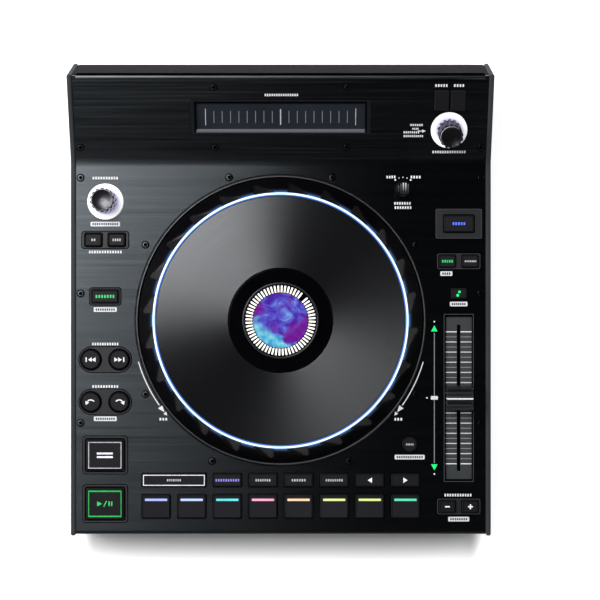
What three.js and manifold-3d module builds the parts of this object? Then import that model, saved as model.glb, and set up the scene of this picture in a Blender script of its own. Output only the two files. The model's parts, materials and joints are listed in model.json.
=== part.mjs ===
// A single-deck DJ controller. A low sheet-metal box carries a large jog wheel in the middle of its
// deck, with buttons, pads and a pitch fader round it, and a raised slope behind with a touch strip.
// Millimetres. +Z is up, +Y is the rear, and the origin lies under the middle of the box.

import * as THREE from 'three';
import { mergeVertices } from 'three/addons/utils/BufferGeometryUtils.js';
import Module from 'manifold-3d';

const wasm = await Module();
wasm.setup();

// Heights and angles of the body
const deckHeight = 50;
const footHeight = 6;
const slopeAngle = THREE.MathUtils.degToRad(20.5);
const rearFaceLength = 36;
const overhangLength = 27;

// Sheets, walls and clearances
const clearance = 0.3;
const overrun = 3;
const panelThickness = 2;
const panelBend = 2.5;
const lipHeight = 14;
const frameThickness = 2.2;
const trayThickness = 2;
const rearBarThickness = 2.5;
const cheekThickness = 3.5;
const cheekBevel = 0.8;
const cheekReach = 0.7;

// Levels below the upper surface of the deck and of the slope
const frameDepth = panelThickness + clearance;
const frameBottom = frameDepth + frameThickness;
const flangeTop = frameBottom + clearance;

// Button caps, their flanges and stems
const buttonTravel = 0.6;
const flangeThickness = 1.2;
const flangeOverhang = 0.8;
const stemWidth = 3;
const roundDiameter = 13.6;
const smallRoundDiameter = 10.8;
const cueCap = { width: 26.6, height: 22, corner: 1.2, bevel: 1.4, proud: 2.4 };
const loopCap = { width: 11.4, height: 8.7, corner: 0.7, bevel: 0.5, proud: 1.8 };
const censorCap = { width: 18.4, height: 8.8, corner: 0.7, bevel: 0.5, proud: 1.8 };
const vinylCap = { width: 20.9, height: 11.9, corner: 0.6, bevel: 0.5, proud: 1.8 };
const keyCap = { width: 11.1, height: 7.6, corner: 0.6, bevel: 0.4, proud: 1.4 };
const browseCap = { width: 10.3, height: 14.4, corner: 0.5, bevel: 0.4, proud: 1.4 };
const roundCap = {
  width: roundDiameter,
  height: roundDiameter,
  corner: roundDiameter / 2,
  bevel: 0.6,
  proud: 1.8,
};
const smallRoundCap = {
  width: smallRoundDiameter,
  height: smallRoundDiameter,
  corner: smallRoundDiameter / 2,
  bevel: 0.5,
  proud: 1.4,
};

// Plastic bezels that rise through the deck round one cap or a pair. The gap lies between the
// caps of a pair, and side and end are how far the bezel reaches past them.
const cueRim = { side: 2.1, end: 2, corner: 2, proud: 0.7 };
const loopRim = { gap: 4.9, side: 2.35, end: 1.45, corner: 1.8, proud: 0.7 };
const censorRim = { side: 1.6, end: 1.45, corner: 1.8, proud: 0.7 };
const jumpRim = { gap: 6.3, side: 1.5, end: 1.95, corner: roundDiameter, proud: 0.7 };
const vinylRim = { side: 5.8, end: 4.5, corner: 0.8, proud: 1.1 };
const syncRim = { gap: 4.7, side: 1.4, end: 1.1, corner: 1.4, proud: 0.7 };
const pairHalf = (cap, rim) => (cap.width + rim.gap) / 2;
const bezelRound = (cap, rim) => {
  const capsWidth = rim.gap ? 2 * cap.width + rim.gap : cap.width;
  const height = cap.height + 2 * rim.end;
  const width = capsWidth + 2 * rim.side;
  return { width, height, corner: Math.min(rim.corner, height / 2), proud: rim.proud };
};
const cueBezel = bezelRound(cueCap, cueRim);
const loopBezel = bezelRound(loopCap, loopRim);
const censorBezel = bezelRound(censorCap, censorRim);
const jumpBezel = bezelRound(roundCap, jumpRim);
const vinylBezel = bezelRound(vinylCap, vinylRim);
const syncBezel = bezelRound(loopCap, syncRim);

// Pads and the mode buttons above them
const padCount = 8;
const padGap = 5.1;
const padRowInset = 0.6;
const padHeight = 16.4;
const modeHeight = 9.2;

// Pitch fader
const faderPlate = { width: 20.9, height: 117.5, corner: 0.8 };
const faderRim = { side: 1.35, end: 1.9, corner: 0.3 };
const faderRecess = {
  width: faderPlate.width - 2 * faderRim.side,
  height: faderPlate.height - 2 * faderRim.end,
  corner: faderRim.corner,
};
const faderRimProud = 0.4;
const faderFloorDrop = 0.8;
const faderSlotWidth = 2.4;
const faderSlotEnd = 5.65;
const faderSlotLength = faderRecess.height - 2 * faderSlotEnd;
const faderFrameSlotMargin = 2;
const faderCapWidth = 17.9;
const faderCapLength = 17.9;
const faderCapShoulder = 1.2;
const faderCapRise = 1;
const faderCapHeight = 10.5;
const faderCapDip = 2.2;
const faderCapDipAlong = 4.3;
const faderCapRidge = 1.4;
const faderBladeWidth = 1.4;
const faderBladeLength = 8;
const slidePotWidth = 10;
const slidePotMargin = 12.8;
const slidePotHeight = 9;
const slidePotChannel = 4;
const slidePotFloor = 1.5;
const slidePotEnd = 5;

// Turned knobs and their light rings
const shaftRadius = 3;
const shaftTopShare = 0.65;
const knobBaseRadius = 8.4;
const knobTopRadius = 7.2;
const knobHeight = 17.6;
const knobLift = 1.4;
const knobDish = 1.6;
const knobSkirt = 2;
const knobLip = 0.6;
const dishSideShare = 0.75;
const fluteCount = 14;
const fluteRadius = 1;
const lightRingOuter = 12.6;
const lightRingProud = 0.4;
const wheelAdjustRadius = 5.7;
const wheelAdjustTopRadius = 4.9;
const wheelAdjustHeight = 13;
const wheelAdjustLift = 0.8;
const wheelAdjustFluteRadius = 0.7;
const wheelAdjustPotWidth = 10;

// Touch strip
const stripFrame = { width: 124.7, height: 24.2, corner: 0.8 };
const stripRim = { side: 3.85, end: 2.2, corner: 0.3 };
const stripWindow = {
  width: stripFrame.width - 2 * stripRim.side,
  height: stripFrame.height - 2 * stripRim.end,
  corner: stripRim.corner,
};
const stripProud = 0.5;
const stripWindowDrop = 0.6;

// The pad and mode rows, measured from the deck's front edge
const padFrontGap = 11.5;
const modeGap = 5.65;
const wellFrontGap = 7.05;
const padRow = padFrontGap + padHeight / 2;
const modeRow = padRow + (padHeight + modeHeight) / 2 + modeGap;
const frontZone = modeRow + modeHeight / 2 + wellFrontGap;

// The right column from the front edge to the fold, which together set how deep the deck is
const faderFrontGap = 11.78;
const keyGap = 10.51;
const syncGap = 13.24;
const vinylGap = 10.36;
const vinylRearGap = 32.06;
const faderRow = padRow + syncBezel.height / 2 + faderFrontGap + faderPlate.height / 2;
const keyRow = faderRow + (faderPlate.height + keyCap.height) / 2 + keyGap;
const syncRow = keyRow + (keyCap.height + syncBezel.height) / 2 + syncGap;
const vinylRow = syncRow + (syncBezel.height + vinylBezel.height) / 2 + vinylGap;
const deckDepth = vinylRow + vinylBezel.height / 2 + vinylRearGap;

// The well of the jog wheel fills the deck between the mode buttons and the fold
const wellRearGap = 9.8;
const wellRadius = (deckDepth - frontZone - wellRearGap) / 2;

// The left column: its two large buttons, then shares of the deck's depth
const playFrontGap = 8.8;
const cueGap = 7.9;
const playRow = playFrontGap + cueBezel.height / 2;
const cueRow = playRow + cueBezel.height + cueGap;
const jumpRowShare = 0.357;
const skipRowShare = 0.471;
const censorRowShare = 0.641;
const loopRowShare = 0.793;
const autoLoopRowShare = 0.8965;

// Columns, measured from the sides. The left one sets how far the body reaches past the well.
const leftColumnGap = 5.9;
const leftWellGap = 4.4;
const rightColumnGap = 6.25;
const leftColumnInset = leftColumnGap + jumpBezel.width / 2;
const rightColumnInset = rightColumnGap + vinylBezel.width / 2;
const sideZone = leftColumnGap + jumpBezel.width + leftWellGap;
const deckSelectInset = 56.8;
const deckSelectRow = 63.2;
const wheelAdjustInset = 61.5;
const wheelAdjustFromFold = 18.8;

// Places on the slope, measured up from the fold, which together set how long the slope is
const stripFrontGap = 20.8;
const selectFrontGap = 10.9;
const browseRingGap = 1.5;
const browseRearGap = 10;
const browseBoardInset = 5;
const browseGap = 0.9;
const browseInset = 30.15;
const selectInset = 30;
const stripAlong = stripFrontGap + stripFrame.height / 2;
const selectAlong = selectFrontGap + lightRingOuter;
const browseAlong = selectAlong + lightRingOuter + browseRingGap + browseCap.height / 2;
const slopeLength = browseAlong + browseCap.height / 2 + browseRearGap;

// Jog wheel, with levels above and below the deck's surface
const rimWidth = 1.2;
const rimProud = 0.5;
const wellFloor = 10;
const wellFloorThickness = 2.2;
const platterGap = 0.9;
const platterFloorGap = 1.2;
const platterShoulder = 1.5;
const platterTop = 14;
const platterSlopeRun = 9.7;
const platterEdgeWidth = 0.7;
const platterEdgeDrop = 0.8;
const platterWall = 2.8;
const platterRecess = 2;
const webThickness = 2.5;
const notchCount = 24;
const notchRadius = 11;
const notchDepth = 1.6;
const lightRingInset = 0.5;
const lightRingWidth = 2.2;
const lightRingRise = 0.2;
const topDiscDrop = 0.2;
const displayRadius = 35.8;
const displayGap = 0.6;
const displayBezelRadius = 26.4;
const displayBezelWidth = 1.4;
const displayBezelRise = 0.5;
const displayThickness = 2.2;
const spindleRadius = 12;
const spindleBore = 8;
const spindleFlangeRadius = 20;
const spindleFlangeThickness = 3;
const hubWall = 4.6;
const spigotLength = 5;
const platterRadius = wellRadius - platterGap;
const platterTopRadius = platterRadius - platterSlopeRun;
const lightRingRadius = platterTopRadius - platterEdgeWidth - lightRingInset;
const webTop = platterTop - platterRecess;

// Circuit boards and what is soldered to them
const boardGap = 9.8;
const slopeBoardGap = 2.5;
const boardThickness = 1.6;
const boardMargin = 1.5;
const switchWidth = 6;
const switchBodyHeight = 3.5;
const plungerHeight = 0.8;
const plungerWidth = 3.4;
const encoderWidth = 13;
const encoderBodyHeight = 7;
const bushingRadius = 4.5;
const bushingDrop = 3;
const boreFloor = 1.5;
const switchHeight = switchBodyHeight + plungerHeight;
const boardDrop = wellFloor + wellFloorThickness + boardGap;
const slopeBoardDrop = frameBottom + encoderBodyHeight + slopeBoardGap;

// Feet, posts and the rear socket
const footRadius = 9;
const footFlare = 1;
const footInset = 27;
const postRadius = 3.2;
const postInset = 14;
const framePostInset = 4;
const usbWidth = 12;
const usbHeight = 11;
const usbLength = 16;
const usbMouthWidth = 8.5;
const usbMouthHeight = 7.8;
const usbMouthDepth = 9;
const usbTongueWidth = 5.6;
const usbTongueHeight = 3.2;
const usbTongueRecess = 1.5;
const usbInset = 62;
const lockSlotWidth = 7;
const lockSlotHeight = 3;
const lockSlotInset = 45;

// Steps that make round outlines
const bendSteps = 3;
const cornerSteps = 1;
const bezelSteps = 2;
const roundSteps = 4;
const wellSides = 60;
const discSides = 48;
const ringSides = 32;
const knobSides = 28;
const pinSides = 12;
const postSides = 8;
const fluteSides = 6;
const footSides = 20;
const notchSides = 10;
const notchRings = 8;
const mergeDistance = 0.02;

// The body's overall places
const bodyWidth = 2 * (wellRadius + sideZone);
const slopeRun = slopeLength * Math.cos(slopeAngle);
const rearLean = rearFaceLength * Math.sin(slopeAngle);
const cheekRearReach = cheekReach * (Math.cos(slopeAngle) + Math.sin(slopeAngle));
const bodyDepth = cheekReach + deckDepth + slopeRun + rearLean + cheekRearReach;
const frontY = cheekReach - bodyDepth / 2;
const foldY = frontY + deckDepth;
const jogY = frontY + frontZone + wellRadius;
const rearWallY = foldY + slopeRun + rearLean - overhangLength * Math.cos(slopeAngle);
const innerWidth = bodyWidth - 2 * (cheekThickness + clearance);
const leftEdge = -bodyWidth / 2;
const rightEdge = bodyWidth / 2;

// Where each row and column lies
const leftX = leftEdge + leftColumnInset;
const rightX = rightEdge - rightColumnInset;
const rowY = (share) => frontY + share * deckDepth;
const padY = frontY + padRow;
const modeY = frontY + modeRow;
const padPitch = 2 * (wellRadius - padRowInset) / padCount;
const padWidth = padPitch - padGap;
const columnX = (column) => (column - (padCount - 1) / 2) * padPitch;
const faderY = frontY + faderRow;
const autoLoop = { x: leftX, y: rowY(autoLoopRowShare) };
const deckSelect = { x: rightEdge - deckSelectInset, y: frontY + deckSelectRow };
const wheelAdjust = { x: rightEdge - wheelAdjustInset, y: foldY - wheelAdjustFromFold };
const select = { x: rightEdge - selectInset, y: selectAlong };
const browseX = rightEdge - browseInset;
const browseHalf = (browseCap.width + browseGap) / 2;
const deckPlacement = new THREE.Matrix4().makeTranslation(0, 0, deckHeight);
const slopePlacement = new THREE.Matrix4()
  .makeTranslation(0, foldY, deckHeight)
  .multiply(new THREE.Matrix4().makeRotationX(slopeAngle));

// Finishes
function finish(color, roughness, metalness) {
  return new THREE.MeshStandardMaterial({ color, roughness, metalness });
}
const finishes = {
  deck: finish(0x33373a, 0.4, 0.9),
  rear: finish(0x3c3d40, 0.5, 0.6),
  chassis: finish(0x1b1b1d, 0.55, 0.5),
  cheek: finish(0x2c2c2e, 0.6, 0),
  frame: finish(0x1c1d20, 0.45, 0),
  cap: finish(0x28282d, 0.6, 0),
  pad: finish(0x2c2b31, 0.8, 0),
  platter: finish(0x0a0a0c, 0.2, 0),
  disc: finish(0x55585a, 0.35, 0.9),
  light: finish(0xe9f2ff, 0.4, 0),
  glass: finish(0x0b0b12, 0.1, 0),
  strip: finish(0x22252a, 0.25, 0),
  steel: finish(0x9a9c9f, 0.35, 1),
  knob: finish(0x131315, 0.25, 0),
  board: finish(0x1d3a26, 0.6, 0),
  foot: finish(0x151515, 0.9, 0),
};

// A closed three.js geometry as a solid that can be joined and cut
function solidOf(geometry) {
  const bare = geometry.clone();
  bare.deleteAttribute('normal');
  bare.deleteAttribute('uv');
  const merged = mergeVertices(bare);
  return new wasm.Manifold(new wasm.Mesh({
    numProp: 3,
    vertProperties: merged.attributes.position.array,
    triVerts: Uint32Array.from(merged.index.array),
  }));
}

// A named piece from a solid
function pieceOf(name, solid, material) {
  const cut = solid.getMesh();
  const geometry = new THREE.BufferGeometry();
  geometry.setAttribute('position', new THREE.BufferAttribute(cut.vertProperties, 3));
  geometry.setIndex(new THREE.BufferAttribute(cut.triVerts, 1));
  geometry.computeVertexNormals();
  const mesh = new THREE.Mesh(geometry, material);
  mesh.name = name;
  return mesh;
}

// Corner points of a rectangle with rounded corners, grown outwards on every side
function roundedPoints(size, grow, steps) {
  const across = size.width / 2 + grow;
  const along = size.height / 2 + grow;
  const radius = Math.min(size.corner + grow, across, along);
  const points = [];
  for (let quarter = 0; quarter < 4; quarter += 1) {
    const centreX = quarter === 0 || quarter === 3 ? across - radius : radius - across;
    const centreY = quarter < 2 ? along - radius : radius - along;
    for (let step = 0; step <= steps; step += 1) {
      const angle = (quarter + step / steps) * Math.PI / 2;
      const x = centreX + radius * Math.cos(angle);
      const point = new THREE.Vector2(x, centreY + radius * Math.sin(angle));
      const previous = points[points.length - 1];
      if (!previous || previous.distanceTo(point) > mergeDistance) points.push(point);
    }
  }
  if (points[0].distanceTo(points[points.length - 1]) < mergeDistance) points.pop();
  return points;
}

// More steps where the corners make a full round
function stepsFor(size, corners) {
  return size.corner * 2 >= Math.min(size.width, size.height) ? roundSteps : corners;
}

// An upright plate with a rounded outline between two levels
function plate(size, bottom, top, { x = 0, y = 0, grow = 0, corners = cornerSteps } = {}) {
  const shape = new THREE.Shape(roundedPoints(size, grow, stepsFor(size, corners)));
  const geometry = new THREE.ExtrudeGeometry(shape, { depth: top - bottom, bevelEnabled: false });
  return geometry.translate(x, y, bottom);
}

// A plain block given by its size, its centre and its two levels
function block(width, length, bottom, top, x = 0, y = 0) {
  return new THREE.BoxGeometry(width, length, top - bottom).translate(x, y, (top + bottom) / 2);
}

// An upright round bar between two levels
function bar(radius, bottom, top, x = 0, y = 0, sides = pinSides) {
  const geometry = new THREE.CylinderGeometry(radius, radius, top - bottom, sides);
  return geometry.rotateX(Math.PI / 2).translate(x, y, (top + bottom) / 2);
}

// A turned body about the upright axis, from a side outline of [radius, level] points
function turned(points, sides) {
  const profile = points.map(([radius, level]) => new THREE.Vector2(radius, level));
  return new THREE.LatheGeometry(profile, sides).rotateX(Math.PI / 2);
}

// The same, where the outline runs round a bore and closes on itself
function turnedRing(points, sides) {
  return turned([...points, points[0]], sides);
}

// A sheet or bar with a side outline of [y, z] points, centred across the body. A bevel, where
// one is given, runs round both ends and stays inside the outline.
function acrossBody(points, width, bevel = 0) {
  const outline = new THREE.Shape(points.map(([y, z]) => new THREE.Vector2(y, z)));
  const depth = width - 2 * bevel;
  const geometry = new THREE.ExtrudeGeometry(outline, {
    depth,
    bevelEnabled: bevel > 0,
    bevelThickness: bevel,
    bevelSize: bevel,
    bevelOffset: -bevel,
    bevelSegments: 1,
  });
  geometry.translate(0, 0, -depth / 2);
  const toBody = new THREE.Matrix4().makeBasis(
    new THREE.Vector3(0, 1, 0),
    new THREE.Vector3(0, 0, 1),
    new THREE.Vector3(1, 0, 0),
  );
  return geometry.applyMatrix4(toBody);
}

// A [y, z] point a distance up the slope and a depth below its surface
function slopePoint(along, depth) {
  return [
    foldY + along * Math.cos(slopeAngle) + depth * Math.sin(slopeAngle),
    deckHeight + along * Math.sin(slopeAngle) - depth * Math.cos(slopeAngle),
  ];
}

// The [y, z] point where the deck folds up into the slope, at a depth below the surface
function foldPoint(depth) {
  return [foldY + depth * Math.tan(slopeAngle / 2), deckHeight - depth];
}

// The [y, z] point at a given y on a plane parallel to the slope
function underslopePoint(y, depth) {
  const along = (y - foldY - depth * Math.sin(slopeAngle)) / Math.cos(slopeAngle);
  return slopePoint(along, depth);
}

// All buttons of the deck: where each is, its cap, and whether its flange may reach sideways
function pair(firstName, secondName, x, y, half, cap) {
  return [
    { name: firstName, x: x - half, y, cap },
    { name: secondName, x: x + half, y, cap },
  ];
}

const padCap = { width: padWidth, height: padHeight, corner: 0.8, bevel: 0.5, proud: 1.6 };
const modeCap = { width: padWidth, height: modeHeight, corner: 0.5, bevel: 0.4, proud: 1.4 };
const shiftCap = { ...modeCap, width: padPitch + padWidth };
const loopHalf = pairHalf(loopCap, loopRim);
const jumpHalf = pairHalf(roundCap, jumpRim);
const syncHalf = pairHalf(loopCap, syncRim);
const deckButtons = [
  { name: 'play_button', x: leftX, y: frontY + playRow, cap: cueCap },
  { name: 'cue_button', x: leftX, y: frontY + cueRow, cap: cueCap },
  ...pair('jump_back_button', 'jump_forward_button', leftX, rowY(jumpRowShare), jumpHalf, roundCap),
  ...pair('skip_back_button', 'skip_forward_button', leftX, rowY(skipRowShare), jumpHalf, roundCap),
  { name: 'censor_button', x: leftX, y: rowY(censorRowShare), cap: censorCap },
  ...pair('loop_in_button', 'loop_out_button', leftX, rowY(loopRowShare), loopHalf, loopCap),
  { name: 'vinyl_button', x: rightX, y: frontY + vinylRow, cap: vinylCap },
  ...pair('sync_button', 'key_lock_button', rightX, frontY + syncRow, syncHalf, loopCap),
  { name: 'key_button', x: rightX, y: frontY + keyRow, cap: keyCap },
  ...pair('bend_minus_button', 'bend_plus_button', rightX, padY, syncHalf, loopCap),
  { name: 'deck_select_button', ...deckSelect, cap: smallRoundCap },
  { name: 'shift_button', x: (columnX(0) + columnX(1)) / 2, y: modeY, cap: shiftCap },
];
const modeNames = [
  'mode_button_1',
  'mode_button_2',
  'mode_button_3',
  'mode_button_4',
  'page_left_button',
  'page_right_button',
];
modeNames.forEach((name, index) => {
  deckButtons.push({ name, x: columnX(index + 2), y: modeY, cap: modeCap });
});
const padButtons = [];
for (let column = 0; column < padCount; column += 1) {
  padButtons.push({ name: `pad_${column + 1}`, x: columnX(column), y: padY, cap: padCap });
}
const slopeButtons = [
  { name: 'back_button', x: browseX - browseHalf, y: browseAlong, cap: browseCap, sideFlange: 0 },
  { name: 'forward_button', x: browseX + browseHalf, y: browseAlong, cap: browseCap, sideFlange: 0 },
];
const bezels = [
  { x: leftX, y: frontY + playRow, size: cueBezel },
  { x: leftX, y: frontY + cueRow, size: cueBezel },
  { x: leftX, y: rowY(jumpRowShare), size: jumpBezel },
  { x: leftX, y: rowY(skipRowShare), size: jumpBezel },
  { x: leftX, y: rowY(censorRowShare), size: censorBezel },
  { x: leftX, y: rowY(loopRowShare), size: loopBezel },
  { x: rightX, y: frontY + vinylRow, size: vinylBezel },
  { x: rightX, y: frontY + syncRow, size: syncBezel },
  { x: rightX, y: padY, size: syncBezel },
];

// A button: a cap with bevelled edges, a flange that stops it under the frame, and a stem that
// ends just above its switch. Level 0 is the surface that it stands in.
function button({ name, x, y, cap, sideFlange = flangeOverhang }, drop, material) {
  const bottom = -(flangeTop + flangeThickness);
  const shape = new THREE.Shape(roundedPoints(cap, 0, stepsFor(cap, cornerSteps)));
  const capGeometry = new THREE.ExtrudeGeometry(shape, {
    depth: cap.proud - bottom - 2 * cap.bevel,
    bevelThickness: cap.bevel,
    bevelSize: cap.bevel,
    bevelOffset: -cap.bevel,
    bevelSegments: 1,
  });
  capGeometry.translate(0, 0, bottom + cap.bevel);
  const flangeWidth = cap.width + 2 * sideFlange;
  const flangeLength = cap.height + 2 * flangeOverhang;
  const stemBottom = buttonTravel + clearance + switchHeight - drop;
  const solid = solidOf(capGeometry)
    .add(solidOf(block(flangeWidth, flangeLength, bottom, -flangeTop)))
    .add(solidOf(block(stemWidth, stemWidth, stemBottom, -flangeTop)));
  const mesh = pieceOf(name, solid, material);
  mesh.position.set(x, y, 0);
  return mesh;
}

// A tall turned knob with a dished top and flutes round its side
function flutedKnob(size) {
  const dishRadius = size.topRadius - knobLip;
  let solid = solidOf(turned([
    [0, 0],
    [size.baseRadius, 0],
    [size.baseRadius, knobSkirt],
    [size.topRadius, size.height],
    [dishRadius, size.height],
    [dishRadius / 2, size.height - knobDish * dishSideShare],
    [0, size.height - knobDish],
  ], knobSides));
  for (let flute = 0; flute < fluteCount; flute += 1) {
    const angle = (flute / fluteCount) * 2 * Math.PI;
    const x = size.baseRadius * Math.cos(angle);
    const y = size.baseRadius * Math.sin(angle);
    const groove = bar(size.fluteRadius, -overrun, size.height + overrun, x, y, fluteSides);
    solid = solid.subtract(solidOf(groove));
  }
  return solid;
}

// An encoder's knob, and the level where the shaft inside it ends
const encoderKnob = {
  baseRadius: knobBaseRadius,
  topRadius: knobTopRadius,
  height: knobHeight,
  fluteRadius,
};
const shaftTop = knobLift + knobHeight * shaftTopShare;

function encoderShaft(name, drop) {
  const bottom = boreFloor + buttonTravel + clearance - drop;
  return pieceOf(name, solidOf(bar(shaftRadius, bottom, shaftTop)), finishes.steel);
}

function encoderCap(name) {
  const bore = bar(shaftRadius + clearance, -overrun, shaftTop + clearance - knobLift);
  const knob = pieceOf(name, flutedKnob(encoderKnob).subtract(solidOf(bore)), finishes.knob);
  knob.position.z = knobLift;
  return knob;
}

function encoderLightRing(name) {
  const bore = bushingRadius + clearance;
  const solid = solidOf(turnedRing([
    [bore, -panelThickness],
    [lightRingOuter, -panelThickness],
    [lightRingOuter, lightRingProud],
    [bore, lightRingProud],
  ], ringSides));
  return pieceOf(name, solid, finishes.light);
}

// The body of an encoder or pot, standing on a board, with the bushing that guides its shaft
function encoderBody(x, y, width, drop) {
  const body = block(width, width, -drop, encoderBodyHeight - drop, x, y);
  const bushing = bar(bushingRadius, -drop, -bushingDrop, x, y);
  const bore = bar(shaftRadius + clearance, boreFloor - drop, 0, x, y);
  return solidOf(body).add(solidOf(bushing)).subtract(solidOf(bore));
}

// A push switch on a board
function pushSwitch(x, y, drop) {
  const body = block(switchWidth, switchWidth, -drop - boardThickness / 2, switchBodyHeight - drop, x, y);
  const plunger = block(plungerWidth, plungerWidth, -drop, switchHeight - drop, x, y);
  return solidOf(body).add(solidOf(plunger));
}

// The top panel: one bent sheet with a lip in front, cut out for everything that rises through it
function topPanel() {
  const bendCentre = [frontY + panelBend, deckHeight - panelBend];
  const bendPoints = (radius) => {
    const points = [];
    for (let step = 0; step <= bendSteps; step += 1) {
      const angle = Math.PI - (step / bendSteps) * Math.PI / 2;
      points.push([bendCentre[0] + radius * Math.cos(angle), bendCentre[1] + radius * Math.sin(angle)]);
    }
    return points;
  };
  const outer = [
    [frontY, deckHeight - lipHeight],
    ...bendPoints(panelBend),
    foldPoint(0),
    slopePoint(slopeLength, 0),
  ];
  const inner = [
    [frontY + panelThickness, deckHeight - lipHeight],
    ...bendPoints(panelBend - panelThickness),
    foldPoint(panelThickness),
    slopePoint(slopeLength, panelThickness),
  ];
  let solid = solidOf(acrossBody([...outer, ...inner.reverse()], innerWidth));
  const cut = (size, placement, x, y, grow, corners) => {
    const cutter = plate(size, -(panelThickness + overrun), overrun, { x, y, grow, corners });
    solid = solid.subtract(solidOf(cutter.applyMatrix4(placement)));
  };
  const cutRound = (radius, placement, x, y, sides) => {
    const cutter = bar(radius, -(panelThickness + overrun), overrun, x, y, sides);
    solid = solid.subtract(solidOf(cutter.applyMatrix4(placement)));
  };
  const bare = deckButtons.filter((one) => !bezels.some((bezel) => isInside(one, bezel)));
  for (const one of [...bare, ...padButtons]) cut(one.cap, deckPlacement, one.x, one.y, clearance);
  for (const one of slopeButtons) cut(one.cap, slopePlacement, one.x, one.y, clearance);
  for (const bezel of bezels) cut(bezel.size, deckPlacement, bezel.x, bezel.y, clearance, bezelSteps);
  cut(faderPlate, deckPlacement, rightX, faderY, clearance);
  cut(stripFrame, slopePlacement, 0, stripAlong, clearance);
  const browseGapCut = { width: 2 * browseHalf, height: browseCap.height, corner: 0 };
  cut(browseGapCut, slopePlacement, browseX, browseAlong, clearance);
  cutRound(wellRadius + rimWidth + clearance, deckPlacement, 0, jogY, wellSides);
  cutRound(lightRingOuter + clearance, deckPlacement, autoLoop.x, autoLoop.y, ringSides);
  cutRound(lightRingOuter + clearance, slopePlacement, select.x, select.y, ringSides);
  cutRound(shaftRadius + clearance, deckPlacement, wheelAdjust.x, wheelAdjust.y, pinSides);
  return pieceOf('top_panel', solid, finishes.deck);
}

// Whether a button stands in a bezel
function isInside(one, bezel) {
  return one.y === bezel.y && Math.abs(one.x - bezel.x) < bezel.size.width / 2;
}

// The inner frame: a plate under the deck and slope, with the bezels, the jog well and board posts
function innerFrame() {
  const front = frontY + panelThickness + clearance;
  const rearAlong = slopeLength - rearBarThickness / 2;
  let solid = solidOf(acrossBody([
    [front, deckHeight - frameDepth],
    foldPoint(frameDepth),
    slopePoint(rearAlong, frameDepth),
    slopePoint(rearAlong, frameBottom),
    foldPoint(frameBottom),
    [front, deckHeight - frameBottom],
  ], innerWidth));
  const add = (geometry, placement) => {
    solid = solid.add(solidOf(geometry.applyMatrix4(placement)));
  };
  const cut = (geometry, placement) => {
    solid = solid.subtract(solidOf(geometry.applyMatrix4(placement)));
  };
  const middle = frameDepth + frameThickness / 2;
  for (const { x, y, size } of bezels) {
    add(plate(size, -middle, size.proud, { x, y, corners: bezelSteps }), deckPlacement);
  }
  for (const { x, y, cap } of [...deckButtons, ...padButtons]) {
    cut(plate(cap, -(frameBottom + overrun), overrun, { x, y, grow: clearance }), deckPlacement);
  }
  const browseHole = { width: 4 * browseHalf - browseGap, height: browseCap.height, corner: 0 };
  const browsePlace = { x: browseX, y: browseAlong, grow: clearance };
  cut(plate(browseHole, -(frameBottom + overrun), overrun, browsePlace), slopePlacement);
  const faderHole = {
    width: faderSlotWidth + 2 * faderFrameSlotMargin,
    height: faderSlotLength + 2 * faderFrameSlotMargin,
    corner: 0,
  };
  cut(plate(faderHole, -(frameBottom + overrun), overrun, { x: rightX, y: faderY }), deckPlacement);
  const bushingHole = (x, y) => bar(bushingRadius + clearance, -(frameBottom + overrun), overrun, x, y);
  cut(bushingHole(autoLoop.x, autoLoop.y), deckPlacement);
  cut(bushingHole(wheelAdjust.x, wheelAdjust.y), deckPlacement);
  cut(bushingHole(select.x, select.y), slopePlacement);
  const tubOuter = wellRadius + rimWidth;
  const tubBottom = wellFloor + wellFloorThickness;
  add(bar(tubOuter, -tubBottom, rimProud, 0, jogY, wellSides), deckPlacement);
  cut(bar(wellRadius, -wellFloor, rimProud + overrun, 0, jogY, wellSides), deckPlacement);
  cut(bar(spindleBore, -(tubBottom + overrun), 0, 0, jogY), deckPlacement);
  for (const [x, y] of browsePostPlaces()) {
    add(bar(postRadius, clearance - slopeBoardDrop, -middle, x, y, postSides), slopePlacement);
  }
  return pieceOf('inner_frame', solid, finishes.frame);
}

// The slope board under the browse knob, and the four posts that it hangs from
const browseBoard = {
  left: select.x - lightRingOuter - browseCap.width,
  right: innerWidth / 2 - framePostInset,
  front: selectAlong - lightRingOuter,
  rear: slopeLength - browseBoardInset,
};

function browsePostPlaces() {
  const { left, right, front, rear } = browseBoard;
  const places = [];
  for (const x of [left + framePostInset, right - framePostInset]) {
    for (const y of [front + framePostInset, rear - framePostInset]) places.push([x, y]);
  }
  return places;
}

function browseBoardPiece() {
  const { left, right, front, rear } = browseBoard;
  const middle = [(left + right) / 2, (front + rear) / 2];
  const bottom = -slopeBoardDrop - boardThickness;
  const card = block(right - left, rear - front, bottom, -slopeBoardDrop, ...middle);
  let solid = solidOf(card).add(encoderBody(select.x, select.y, encoderWidth, slopeBoardDrop));
  for (const { x, y } of slopeButtons) solid = solid.add(pushSwitch(x, y, slopeBoardDrop));
  return pieceOf('browse_board', solid, finishes.board);
}

// The control board, with its switches, encoder, pots and rear socket soldered on
const boardFront = frontY + panelThickness + clearance + trayThickness + boardMargin;
const boardRear = rearWallY - trayThickness - boardMargin;
const boardWidth = innerWidth - 2 * boardMargin;
const usbX = rightEdge - usbInset;

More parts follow.
